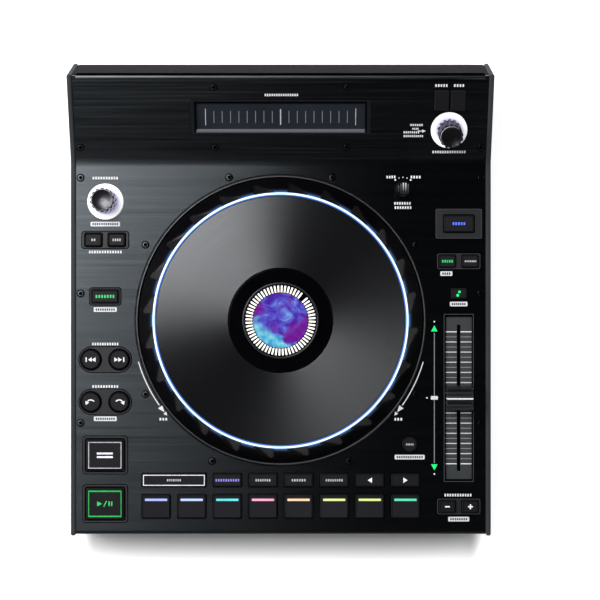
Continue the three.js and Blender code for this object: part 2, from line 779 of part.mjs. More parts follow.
function controlBoard() {
  const middleY = (boardFront + boardRear) / 2;
  const bottom = -boardDrop - boardThickness;
  const card = block(boardWidth, boardRear - boardFront, bottom, -boardDrop, 0, middleY);
  let solid = solidOf(card);
  for (const { x, y } of [...deckButtons, ...padButtons]) solid = solid.add(pushSwitch(x, y, boardDrop));
  solid = solid
    .add(encoderBody(autoLoop.x, autoLoop.y, encoderWidth, boardDrop))
    .add(encoderBody(wheelAdjust.x, wheelAdjust.y, wheelAdjustPotWidth, boardDrop))
    .add(slidePot())
    .add(usbSocket())
    .subtract(solidOf(bar(spindleBore, -boardDrop - overrun, overrun - boardDrop, 0, jogY)));
  const board = pieceOf('control_board', solid, finishes.board);
  board.position.z = deckHeight;
  return board;
}

function slidePot() {
  const floor = -boardDrop - boardThickness / 2;
  const length = faderSlotLength + 2 * slidePotMargin;
  const body = block(slidePotWidth, length, floor, slidePotHeight - boardDrop, rightX, faderY);
  const channelLength = length - 2 * slidePotEnd;
  const channel = block(slidePotChannel, channelLength, slidePotFloor - boardDrop, 0, rightX, faderY);
  return solidOf(body).subtract(solidOf(channel));
}

function usbSocket() {
  const top = -boardDrop - boardThickness / 2;
  const bottom = -boardDrop - boardThickness - usbHeight;
  const middle = -boardDrop - boardThickness - usbHeight / 2;
  const shell = block(usbWidth, usbLength, bottom, top, usbX, rearWallY - usbLength / 2);
  const mouth = block(
    usbMouthWidth,
    usbMouthDepth + overrun,
    middle - usbMouthHeight / 2,
    middle + usbMouthHeight / 2,
    usbX,
    rearWallY + (overrun - usbMouthDepth) / 2,
  );
  const tongue = block(
    usbTongueWidth,
    usbMouthDepth,
    middle - usbTongueHeight / 2,
    middle + usbTongueHeight / 2,
    usbX,
    rearWallY - usbTongueRecess - usbMouthDepth / 2,
  );
  return solidOf(shell).subtract(solidOf(mouth)).add(solidOf(tongue));
}

// The bottom tray: floor, front wall, rear wall and the sheet under the overhang, bent in one piece
function bottomTray() {
  const front = frontY + panelThickness + clearance;
  const wallTop = deckHeight - frameBottom - clearance;
  const rearAlong = slopeLength - rearBarThickness - clearance;
  const innerDepth = rearFaceLength - trayThickness;
  let solid = solidOf(acrossBody([
    [front, wallTop],
    [front, footHeight],
    [rearWallY, footHeight],
    underslopePoint(rearWallY, rearFaceLength),
    slopePoint(rearAlong, rearFaceLength),
    slopePoint(rearAlong, innerDepth),
    underslopePoint(rearWallY - trayThickness, innerDepth),
    [rearWallY - trayThickness, footHeight + trayThickness],
    [front + trayThickness, footHeight + trayThickness],
    [front + trayThickness, wallTop],
  ], innerWidth));
  const floorTop = footHeight + trayThickness;
  const postTop = deckHeight - boardDrop - boardThickness - clearance;
  for (const x of [-boardWidth / 2 + postInset, 0, boardWidth / 2 - postInset]) {
    for (const y of [boardFront + postInset, boardRear - postInset]) {
      const post = bar(postRadius, floorTop - trayThickness / 2, postTop, x, y, postSides);
      solid = solid.add(solidOf(post));
    }
  }
  const socketTop = deckHeight - boardDrop - boardThickness;
  const socketHole = block(
    usbWidth + 2 * clearance,
    2 * overrun + trayThickness,
    socketTop - usbHeight - clearance,
    socketTop + boardThickness / 2 + clearance,
    usbX,
    rearWallY - trayThickness / 2,
  );
  const lockMiddle = socketTop - usbHeight / 2;
  const lockSlot = block(
    lockSlotWidth,
    2 * overrun + trayThickness,
    lockMiddle - lockSlotHeight / 2,
    lockMiddle + lockSlotHeight / 2,
    leftEdge + lockSlotInset,
    rearWallY - trayThickness / 2,
  );
  solid = solid.subtract(solidOf(socketHole)).subtract(solidOf(lockSlot));
  return pieceOf('bottom_tray', solid, finishes.chassis);
}

// The rear bar: the plate that closes the back of the slope
function rearBar() {
  const inner = slopeLength - rearBarThickness;
  return pieceOf('rear_bar', solidOf(acrossBody([
    slopePoint(inner, flangeTop),
    slopePoint(inner, rearFaceLength),
    slopePoint(slopeLength, rearFaceLength),
    slopePoint(slopeLength, flangeTop),
  ], innerWidth)), finishes.rear);
}

// A side cheek: a thick bevelled plate in the body's side outline, a little larger than the sheets
function sideCheek(name, side) {
  const solid = solidOf(acrossBody([
    [frontY - cheekReach, footHeight],
    [frontY - cheekReach, deckHeight + cheekReach],
    foldPoint(-cheekReach),
    slopePoint(slopeLength + cheekReach, -cheekReach),
    slopePoint(slopeLength + cheekReach, rearFaceLength + cheekReach),
    underslopePoint(rearWallY + cheekReach, rearFaceLength + cheekReach),
    [rearWallY + cheekReach, footHeight],
  ], cheekThickness, cheekBevel));
  const cheek = pieceOf(name, solid, finishes.cheek);
  cheek.position.x = side * (bodyWidth - cheekThickness) / 2;
  return cheek;
}

// A rubber foot, a little wider at its top
function foot(name, x, y) {
  const solid = solidOf(turned([
    [0, 0],
    [footRadius, 0],
    [footRadius + footFlare, footHeight - clearance],
    [0, footHeight - clearance],
  ], footSides));
  const piece = pieceOf(name, solid, finishes.foot);
  piece.position.set(x, y, 0);
  return piece;
}

// The jog platter: a hollow turned body that runs round the spindle, with notches in its side
function jogPlatter() {
  const platterBase = platterFloorGap - wellFloor;
  const hubInner = spindleRadius + clearance;
  const hubOuter = hubInner + hubWall;
  const hubBottom = spindleFlangeThickness + 2 * clearance - wellFloor;
  const webBottom = webTop - webThickness;
  let solid = solidOf(turnedRing([
    [hubInner, hubBottom],
    [hubOuter, hubBottom],
    [hubOuter, webBottom],
    [platterTopRadius - platterWall, webBottom],
    [platterRadius - platterWall, platterShoulder],
    [platterRadius - platterWall, platterBase],
    [platterRadius, platterBase],
    [platterRadius, platterShoulder],
    [platterTopRadius, platterTop - platterEdgeDrop],
    [platterTopRadius - platterEdgeWidth, platterTop],
    [lightRingRadius + clearance, platterTop],
    [lightRingRadius + clearance, webTop],
    [hubInner, webTop],
  ], 2 * notchCount));
  const sideRise = platterTop - platterEdgeDrop - platterShoulder;
  const sideSlope = Math.atan2(sideRise, -platterSlopeRun);
  const middleRadius = (platterRadius + platterTopRadius) / 2;
  const middleLevel = platterShoulder + sideRise / 2;
  const reach = notchRadius - notchDepth;
  for (let notch = 0; notch < notchCount; notch += 1) {
    const cutter = new THREE.SphereGeometry(notchRadius, notchSides, notchRings);
    cutter.translate(
      middleRadius + reach * Math.sin(sideSlope),
      0,
      middleLevel - reach * Math.cos(sideSlope),
    );
    cutter.rotateZ((notch / notchCount) * 2 * Math.PI);
    solid = solid.subtract(solidOf(cutter));
  }
  return pieceOf('jog_platter', solid, finishes.platter);
}

// The parts that stand on the platter or in its middle
function jogTopDisc() {
  const inner = displayRadius + displayGap;
  const outer = lightRingRadius - lightRingWidth - clearance;
  return pieceOf('jog_top_disc', solidOf(turnedRing([
    [inner, webTop + clearance],
    [outer, webTop + clearance],
    [outer, platterTop - topDiscDrop],
    [inner, platterTop - topDiscDrop],
  ], discSides)), finishes.disc);
}

function jogLightRing() {
  return pieceOf('jog_light_ring', solidOf(turnedRing([
    [lightRingRadius - lightRingWidth, webTop + clearance],
    [lightRingRadius, webTop + clearance],
    [lightRingRadius, platterTop + lightRingRise],
    [lightRingRadius - lightRingWidth, platterTop + lightRingRise],
  ], discSides)), finishes.light);
}

function displayUnit() {
  const bottom = webTop + 2 * clearance;
  const top = bottom + displayThickness;
  const spigotRadius = spindleBore - clearance;
  return pieceOf('display_unit', solidOf(turned([
    [0, bottom - spigotLength],
    [spigotRadius, bottom - spigotLength],
    [spigotRadius, bottom],
    [displayRadius, bottom],
    [displayRadius, top],
    [displayBezelRadius, top],
    [displayBezelRadius, top + displayBezelRise],
    [displayBezelRadius - displayBezelWidth, top + displayBezelRise],
    [displayBezelRadius - displayBezelWidth, top],
    [0, top],
  ], discSides)), finishes.glass);
}

function jogSpindle() {
  const bottom = clearance - wellFloor;
  return pieceOf('jog_spindle', solidOf(turnedRing([
    [spindleBore, bottom],
    [spindleFlangeRadius, bottom],
    [spindleFlangeRadius, bottom + spindleFlangeThickness],
    [spindleRadius, bottom + spindleFlangeThickness],
    [spindleRadius, webTop + clearance],
    [spindleBore, webTop + clearance],
  ], ringSides)), finishes.steel);
}

// The pitch fader's plate, and the cap with the blade that runs in the slide pot
function faderPlatePiece() {
  const slot = { width: faderSlotWidth, height: faderSlotLength, corner: 0 };
  const solid = solidOf(plate(faderPlate, -panelThickness, faderRimProud))
    .subtract(solidOf(plate(faderRecess, -faderFloorDrop, overrun)))
    .subtract(solidOf(plate(slot, -(panelThickness + overrun), overrun)));
  const piece = pieceOf('fader_plate', solid, finishes.frame);
  piece.position.set(rightX, faderY, 0);
  return piece;
}

function faderCap() {
  const bottom = faderCapRise;
  const top = bottom + faderCapHeight;
  const capSolid = solidOf(acrossBody([
    [-faderCapLength / 2, bottom],
    [faderCapLength / 2, bottom],
    [faderCapLength / 2 - faderCapShoulder, top],
    [faderCapDipAlong, top - faderCapDip],
    [faderCapRidge, top],
    [-faderCapRidge, top],
    [-faderCapDipAlong, top - faderCapDip],
    [faderCapShoulder - faderCapLength / 2, top],
  ], faderCapWidth));
  const bladeBottom = slidePotFloor + clearance - boardDrop;
  const blade = block(faderBladeWidth, faderBladeLength, bladeBottom, bottom + faderCapDip);
  const piece = pieceOf('pitch_fader_cap', capSolid.add(solidOf(blade)), finishes.cap);
  piece.position.set(rightX, faderY, 0);
  return piece;
}

// The touch strip: a frame and its sunk window in one moulding
function touchStrip() {
  const solid = solidOf(plate(stripFrame, -panelThickness, stripProud))
    .subtract(solidOf(plate(stripWindow, -stripWindowDrop, overrun)));
  const piece = pieceOf('touch_strip', solid, finishes.strip);
  piece.position.y = stripAlong;
  return piece;
}

// The small knob that sets how freely the wheel turns, with its own shaft
function wheelAdjustKnob() {
  const size = {
    baseRadius: wheelAdjustRadius,
    topRadius: wheelAdjustTopRadius,
    height: wheelAdjustHeight,
    fluteRadius: wheelAdjustFluteRadius,
  };
  const shaftBottom = boreFloor + clearance - boardDrop - wheelAdjustLift;
  const shaft = bar(shaftRadius, shaftBottom, knobSkirt);
  const piece = pieceOf('wheel_adjust_knob', flutedKnob(size).add(solidOf(shaft)), finishes.knob);
  piece.position.set(wheelAdjust.x, wheelAdjust.y, wheelAdjustLift);
  return piece;
}

// The assembly
const group = new THREE.Group();
group.name = 'dj_controller';
group.add(topPanel(), innerFrame(), controlBoard(), bottomTray(), rearBar());
group.add(sideCheek('side_cheek_left', -1), sideCheek('side_cheek_right', 1));
const footX = bodyWidth / 2 - footInset;
group.add(
  foot('foot_front_left', -footX, frontY + footInset),
  foot('foot_front_right', footX, frontY + footInset),
  foot('foot_rear_left', -footX, rearWallY - footInset),
  foot('foot_rear_right', footX, rearWallY - footInset),
);

const deck = new THREE.Group();
deck.position.z = deckHeight;
for (const one of deckButtons) deck.add(button(one, boardDrop, finishes.cap));
for (const one of padButtons) deck.add(button(one, boardDrop, finishes.pad));
deck.add(faderPlatePiece(), faderCap(), wheelAdjustKnob());
group.add(deck);

const autoLoopGroup = new THREE.Group();
autoLoopGroup.position.set(autoLoop.x, autoLoop.y, 0);
autoLoopGroup.add(
  encoderShaft('auto_loop_shaft', boardDrop),
  encoderCap('auto_loop_knob'),
  encoderLightRing('auto_loop_light_ring'),
);
deck.add(autoLoopGroup);

const jog = new THREE.Group();
jog.position.y = jogY;
jog.add(jogPlatter(), jogTopDisc(), jogLightRing(), displayUnit(), jogSpindle());
deck.add(jog);

const slope = new THREE.Group();
slope.applyMatrix4(slopePlacement);
slope.add(browseBoardPiece(), touchStrip());
for (const one of slopeButtons) slope.add(button(one, slopeBoardDrop, finishes.cap));
const selectGroup = new THREE.Group();
selectGroup.position.set(select.x, select.y, 0);
selectGroup.add(
  encoderShaft('select_shaft', slopeBoardDrop),
  encoderCap('select_knob'),
  encoderLightRing('select_light_ring'),
);
slope.add(selectGroup);
group.add(slope);

export default group;
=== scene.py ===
import json
import math

import bmesh
import bpy
from mathutils import Matrix, Quaternion, Vector


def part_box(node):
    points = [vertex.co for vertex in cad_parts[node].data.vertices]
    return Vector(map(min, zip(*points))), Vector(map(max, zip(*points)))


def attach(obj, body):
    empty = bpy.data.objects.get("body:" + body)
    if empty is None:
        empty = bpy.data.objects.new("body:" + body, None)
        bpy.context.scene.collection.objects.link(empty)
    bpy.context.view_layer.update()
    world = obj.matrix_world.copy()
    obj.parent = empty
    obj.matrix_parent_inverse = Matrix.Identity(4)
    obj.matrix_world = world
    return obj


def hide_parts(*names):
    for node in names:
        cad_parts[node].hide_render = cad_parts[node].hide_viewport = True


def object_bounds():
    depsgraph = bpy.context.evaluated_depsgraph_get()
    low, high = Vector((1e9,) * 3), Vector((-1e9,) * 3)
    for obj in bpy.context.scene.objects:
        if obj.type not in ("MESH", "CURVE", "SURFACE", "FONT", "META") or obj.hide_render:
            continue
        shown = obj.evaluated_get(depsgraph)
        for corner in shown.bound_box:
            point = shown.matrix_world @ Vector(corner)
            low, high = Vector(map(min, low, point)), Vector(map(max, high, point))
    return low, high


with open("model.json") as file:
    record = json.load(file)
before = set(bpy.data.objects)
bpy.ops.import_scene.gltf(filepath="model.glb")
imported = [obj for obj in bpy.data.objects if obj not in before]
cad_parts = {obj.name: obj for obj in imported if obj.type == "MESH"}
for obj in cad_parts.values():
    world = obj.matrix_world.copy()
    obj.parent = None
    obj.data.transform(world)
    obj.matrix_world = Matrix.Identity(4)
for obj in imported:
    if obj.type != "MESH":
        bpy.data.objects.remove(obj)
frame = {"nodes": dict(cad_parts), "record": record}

cad_box = [list(corner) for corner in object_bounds()]

# Levels and angles that the frame's boxes don't give directly
PAD_PROUD = 0.0016
SLOPE_ANGLE = math.radians(20.5)
PANEL_THICKNESS = 0.002

# How far a cap's flange, below the surface, reaches past the cap
FLANGE_REACH = 0.0008

# Fine rounding of moulded edges
EDGE_ROUND = 0.00025
EDGE_STEPS = 2
EDGE_ANGLE = math.radians(32)
WELD = 0.00001

# How high printed marks stand on their surface, and how deep they reach into it
PRINT_RISE = 0.00006
PRINT_SINK = 0.00004


def centre_of(node):
    low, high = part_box(node)
    return (low + high) / 2


def size_of(node):
    low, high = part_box(node)
    return high - low


def over(spot, level):
    """A place at a level, over or under a spot."""
    return Matrix.Translation((spot.x, spot.y, level))


PANEL_LOW, PANEL_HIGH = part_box("top_panel")
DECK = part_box("pad_1")[1].z - PAD_PROUD
SLOPE_LENGTH = (PANEL_HIGH.z - DECK) / math.sin(SLOPE_ANGLE)
FOLD_Y = PANEL_HIGH.y - PANEL_THICKNESS * math.sin(SLOPE_ANGLE) - SLOPE_LENGTH * math.cos(SLOPE_ANGLE)
FRONT_Y = PANEL_LOW.y
SIDE_X = PANEL_HIGH.x
JOG = centre_of("jog_platter")
DECK_PLACE = Matrix.Translation((0, 0, DECK))
SLOPE_PLACE = Matrix.Translation((0, FOLD_Y, DECK)) @ Matrix.Rotation(SLOPE_ANGLE, 4, "X")
JOG_PLACE = over(JOG, DECK)


def box_in(place, node):
    """Lowest and highest corners of a node, measured in a placed frame."""
    back = place.inverted()
    points = [back @ vertex.co for vertex in frame["nodes"][node].data.vertices]
    low = Vector([min(point[axis] for point in points) for axis in range(3)])
    high = Vector([max(point[axis] for point in points) for axis in range(3)])
    return low, high


# Material tools

FINISHES = {}
WHITE = (1, 1, 1)
BLACK = (0, 0, 0)
GRAIN_DEPTH = 0.00006


class Finish:
    """A procedural material, built node by node in the frame's own coordinates and kept by its name."""

    def __init__(self, name, roughness, metallic=0.0, specular=0.5, ior=1.5):
        self.data = bpy.data.materials.new(name)
        FINISHES[name] = self.data
        self.data.use_nodes = True
        self.tree = self.data.node_tree
        self.shader = self.tree.nodes["Principled BSDF"]
        self.place = self.tree.nodes.new("ShaderNodeTexCoord").outputs["Object"]
        self.give({"Roughness": roughness, "Metallic": metallic, "Specular IOR Level": specular, "IOR": ior})

    def feed(self, node, values):
        """Gives a node's sockets their values, or links them to other nodes."""
        for name, value in values.items():
            if isinstance(value, bpy.types.NodeSocket):
                self.tree.links.new(value, node.inputs[name])
            else:
                node.inputs[name].default_value = value

    def give(self, values):
        self.feed(self.shader, values)

    def node(self, kind, values, **settings):
        made = self.tree.nodes.new(kind)
        for name, value in settings.items():
            setattr(made, name, value)
        self.feed(made, values)
        return made

    def noise(self, scale, detail, stretch=(1, 1, 1), place=None):
        mapped = self.node("ShaderNodeMapping", {"Vector": place or self.place, "Scale": stretch})
        values = {"Vector": mapped.outputs[0], "Scale": scale, "Detail": detail}
        return self.node("ShaderNodeTexNoise", values).outputs["Fac"]

    def ramp(self, fac, stops):
        made = self.node("ShaderNodeValToRGB", {"Fac": fac})
        elements = made.color_ramp.elements
        while len(elements) < len(stops):
            elements.new(1)
        for element, (position, color) in zip(elements, stops):
            element.position = position
            element.color = (*color, 1)
        return made.outputs["Color"]

    def tones(self, fac, low, high, start=0.3, end=0.7):
        """Two colours, for the low and the high places of a noise."""
        return self.ramp(fac, [(start, low), (end, high)])

    def shades(self, fac, color, low, high, start=0.3, end=0.7):
        """One colour, darker and brighter by shares of it."""
        return self.tones(fac, scaled(color, low), scaled(color, high), start, end)

    def span(self, fac, low, high, from_low=0.0, from_high=1.0):
        values = {"Value": fac, "From Min": from_low, "From Max": from_high, "To Min": low, "To Max": high}
        return self.node("ShaderNodeMapRange", values).outputs["Result"]

    def between(self, fac, start, end):
        """A share that is 0 at the start and 1 at the end."""
        return self.span(fac, 0.0, 1.0, start, end)

    def math(self, operation, first, second=0.0):
        return self.node("ShaderNodeMath", {0: first, 1: second}, operation=operation).outputs[0]

    def mix(self, fac, first, second, blend="MIX"):
        made = self.node("ShaderNodeMix", {0: fac, 6: first, 7: second}, data_type="RGBA", blend_type=blend)
        return made.outputs[2]

    def times(self, first, second):
        return self.mix(1.0, first, second, "MULTIPLY")

    def along(self, axis):
        """How far along an axis a point lies."""
        return self.node("ShaderNodeSeparateXYZ", {0: self.place}).outputs[axis]

    def vector(self, x, y, z):
        return self.node("ShaderNodeCombineXYZ", {"X": x, "Y": y, "Z": z}).outputs[0]

    def from_axis(self, centre, axis=(0, 0, 1)):
        """The distance of a point from an axis through a centre."""
        away = self.node("ShaderNodeVectorMath", {0: self.place, 1: centre}, operation="SUBTRACT")
        across = self.node("ShaderNodeVectorMath", {0: away.outputs[0], 1: axis}, operation="CROSS_PRODUCT")
        return self.node("ShaderNodeVectorMath", {0: across.outputs[0]}, operation="LENGTH").outputs["Value"]

    def bump(self, height, strength, distance=GRAIN_DEPTH, **normal):
        values = {"Height": height, "Strength": strength, "Distance": distance, **normal}
        self.give({"Normal": self.node("ShaderNodeBump", values).outputs[0]})

    def brushed(self):
        """Fine lines from side to side stretch what is reflected from front to rear."""
        self.give({"Anisotropic": 0.95, "Tangent": self.vector(0.0, 1.0, 0.0)})

    def cover(self, color, roughness):
        self.give({"Base Color": color, "Roughness": roughness})

    def glow(self, color, strength):
        """Light of its own."""
        self.give({"Emission Color": color, "Emission Strength": strength})

    def lit(self, color, strength):
        """One colour for the surface and for the light of its own."""
        self.give({"Base Color": color})
        self.glow(color, strength)


def rgb(red, green, blue):
    """A linear colour from display values of 0 to 255."""
    def linear(value):
        share = value / 255
        return share / 12.92 if share <= 0.04045 else ((share + 0.055) / 1.055) ** 2.4
    return linear(red), linear(green), linear(blue)


def scaled(color, factor):
    return tuple(value * factor for value in color)


def moulded(name, color, roughness, grain=0.12, grain_scale=2600, specular=0.5, ior=1.5):
    """Moulded plastic: a fine spark-eroded grain, with slow changes in shade and gloss."""
    made = Finish(name, roughness, 0.0, specular, ior)
    fine = made.noise(grain_scale, 3)
    shade = made.shades(made.noise(18, 3), color, 0.86, 1.14)
    speck = made.shades(fine, WHITE, 0.82, 1.12, end=0.75)
    gloss = made.span(fine, roughness - 0.06, roughness + 0.08)
    made.cover(made.times(shade, speck), gloss)
    made.bump(fine, grain)


def satin(name, low, high, gloss, scale, detail, metallic=0.0, specular=0.5, stretch=(1, 1, 1)):
    """A finish whose shade and gloss both follow one fine noise."""
    made = Finish(name, gloss[0], metallic, specular)
    grain = made.noise(scale, detail, stretch)
    made.cover(made.tones(grain, low, high), made.span(grain, *gloss))
    return made, grain


# Materials

FOLD_SOFT = 0.0034
FOLD_SHIFT = 0.0009
FRONT_SHADE_REACH = 0.0030
BRUSH_DEPTH = 0.00003
SCRATCH_SHARES = [(0.36, 0.6), (0.46, 0.82), (0.58, 0.92), (0.66, 1.4)]
KNOB_GRAIN_DEPTH = 0.00004


def deck_metal():
    """Black anodised sheet, brushed from side to side, with painted shade darkening its front bend, and soft
    at its fold.

    Past the fold single scratches show.
    """
    made = Finish("deck_metal", 0.25, 1.0)
    depth = made.along("Y")
    fold = FOLD_Y + FOLD_SHIFT
    fine = made.noise(640, 4, (0.02, 1, 1))
    streak = made.mix(0.4, fine, made.noise(240, 3, (0.012, 1, 1)))
    cloud = made.shades(made.noise(9, 3), WHITE, 0.93, 1.06)
    shade = made.times(made.shades(streak, rgb(66, 70, 73), 0.7, 1.26), cloud)
    stops = [(place, scaled(WHITE, share)) for place, share in SCRATCH_SHARES]
    scratched = made.times(shade, made.ramp(made.noise(760, 2, (0.012, 1, 1)), stops))
    shade = made.mix(made.between(depth, fold, fold + FOLD_SOFT), shade, scratched)
    # Painted shade: the base colour darkens over the front bend.
    bend = made.span(depth, 0.03, 1.0, FRONT_Y + FRONT_SHADE_REACH / 6, FRONT_Y + FRONT_SHADE_REACH)
    made.cover(made.times(shade, bend), made.span(streak, 0.22, 0.27))
    made.brushed()
    turn = made.span(depth, 0.0, SLOPE_ANGLE, fold - FOLD_SOFT, fold + FOLD_SOFT)
    lean = made.math("MULTIPLY", made.math("SINE", turn), -1.0)
    folded = made.vector(0.0, lean, made.math("COSINE", turn))
    flat = made.node("ShaderNodeNewGeometry", {}).outputs["Normal"]
    near = made.math("LESS_THAN", made.math("ABSOLUTE", made.math("SUBTRACT", depth, fold)), FOLD_SOFT)
    normal = made.node("ShaderNodeMix", {0: near, 4: flat, 5: folded}, data_type="VECTOR").outputs[1]
    made.bump(fine, 0.08, BRUSH_DEPTH, Normal=normal)


def knob_black():
    made, grain = satin("knob_black", rgb(4, 4, 6), rgb(8, 8, 10), (0.3, 0.42), 900, 4, specular=0.03)
    made.bump(grain, 0.03, KNOB_GRAIN_DEPTH)


def screw_steel():
    made, grain = satin("screw_steel", rgb(58, 61, 63), rgb(70, 73, 76), (0.22, 0.28), 2200, 3, 1.0)
    made.brushed()


deck_metal()
knob_black()
screw_steel()
moulded("rear_metal", rgb(34, 34, 37), 0.6, 0.05, specular=0.25, ior=1.1)
moulded("chassis_metal", rgb(24, 24, 26), 0.55, 0.25, 1600, specular=0.3)
moulded("cheek_plastic", rgb(66, 67, 69), 0.55, specular=0.4, ior=1.15)
moulded("frame_plastic", rgb(32, 33, 36), 0.4, specular=0.4)
moulded("cap_plastic", rgb(22, 22, 26), 0.5, specular=0.22)
moulded("pad_rubber", rgb(35, 34, 40), 0.75, 0.2, 1800, specular=0.15)
moulded("platter_gloss", rgb(6, 6, 8), 0.12, 0.02)
moulded("disc_metal", rgb(80, 80, 80), 0.4)
moulded("light_plastic", rgb(235, 240, 255), 0.4)
moulded("display_glass", rgb(5, 5, 8), 0.1, 0.0)
moulded("strip_plastic", rgb(24, 26, 30), 0.3, specular=0.35)
moulded("steel", rgb(150, 152, 155), 0.35, 0.05)
moulded("knob_gloss", rgb(14, 14, 16), 0.25)
moulded("board", rgb(24, 62, 38), 0.5)
moulded("foot_rubber", rgb(20, 20, 20), 0.85, 0.3, 900)
moulded("fader_cap_plastic", rgb(30, 31, 35), 0.4)
moulded("fader_slate", rgb(56, 60, 62), 0.5)
satin("platter_facet", rgb(12, 12, 14), rgb(18, 18, 21), (0.24, 0.38), 260, 5, specular=0.3)
satin("well_lip_metal", rgb(90, 90, 94), rgb(116, 116, 120), (0.38, 0.52), 1400, 3, 1.0)
satin("display_rim_metal", rgb(58, 58, 62), rgb(76, 76, 80), (0.3, 0.42), 1500, 4, 1.0)
satin("knob_dish_metal", rgb(76, 76, 79), rgb(92, 92, 95), (0.28, 0.35), 1600, 4, 1.0)
satin("knob_dark_dish", rgb(8, 8, 10), rgb(13, 13, 15), (0.26, 0.38), 1600, 4, specular=0.35)
satin("strip_glass", rgb(33, 37, 45), rgb(40, 44, 52), (0.26, 0.32), 30, 3, specular=0.25)
satin("bead_metal", rgb(68, 70, 72), rgb(86, 88, 90), (0.26, 0.34), 700, 3, 1.0, stretch=(0.05, 1, 1))


def dress_nodes():
    """Every CAD node gets its finish, welded and finely rounded edges."""
    for node in frame["nodes"].values():
        for slot in node.material_slots:
            slot.material = FINISHES[slot.material.name.split(".")[0]]
        weld = node.modifiers.new("weld", "WELD")
        weld.merge_threshold = WELD
        edges = node.modifiers.new("edges", "BEVEL")
        edges.width = EDGE_ROUND
        edges.segments = EDGE_STEPS
        edges.limit_method = "ANGLE"
        edges.angle_limit = EDGE_ANGLE
        even = node.modifiers.new("even", "WEIGHTED_NORMAL")
        even.keep_sharp = True


dress_nodes()


# Mesh tools. Every shape is closed, and a piece may join several.

CORNER_STEPS = 6
ROUND_SIDES = 48
FINE_SIDES = 240
LEAST_CORNER = 0.00002
CORNER_SMALL = 0.0003
MERGE = 0.000002
SHARP = math.radians(40)


def shares(steps):
    """Even shares from 0 to 1."""
    return [step / steps for step in range(steps + 1)]


def around(sides):
    """Even angles round a full turn."""
    return [side / sides * 2 * math.pi for side in range(sides)]


def polar(radius, angle, x=0.0, y=0.0):
    return x + radius * math.cos(angle), y + radius * math.sin(angle)


def circle(radius, sides=ROUND_SIDES, x=0.0, y=0.0):
    return [polar(radius, angle, x, y) for angle in around(sides)]


def rounded(width, height, corner, x=0.0, y=0.0):
    """Points round a rectangle with rounded corners, anticlockwise."""
    radius = max(min(corner, width / 2, height / 2), LEAST_CORNER)
    points = []
    for quarter in range(4):
        centre_x = width / 2 - radius if quarter in (0, 3) else radius - width / 2
        centre_y = height / 2 - radius if quarter < 2 else radius - height / 2
        for share in shares(CORNER_STEPS):
            points.append(polar(radius, (quarter + share) * math.pi / 2, x + centre_x, y + centre_y))
    return points


def inset(width, height, by, corner=CORNER_SMALL):
    """The size of a rounded rectangle, smaller on every side."""
    return (width - 2 * by, height - 2 * by, corner)


def at_level(outline, level):
    return [(*point, level) for point in outline]


def rounded_edge(outer, level, radius, steps=4):
    """The last points of a profile: a quarter round from the side up to the top."""
    points = []
    for share in shares(steps):
        angle = share * math.pi / 2
        points.append((outer - radius * (1 - math.cos(angle)), level - radius * (1 - math.sin(angle))))
    return points


def crowned(inner, outer, level, radius):
    """The last points of a ring's profile: its top, rounded on both sides."""
    edge = rounded_edge(outer, level, radius)
    return edge + [(inner + outer - across, height) for across, height in edge[::-1]]


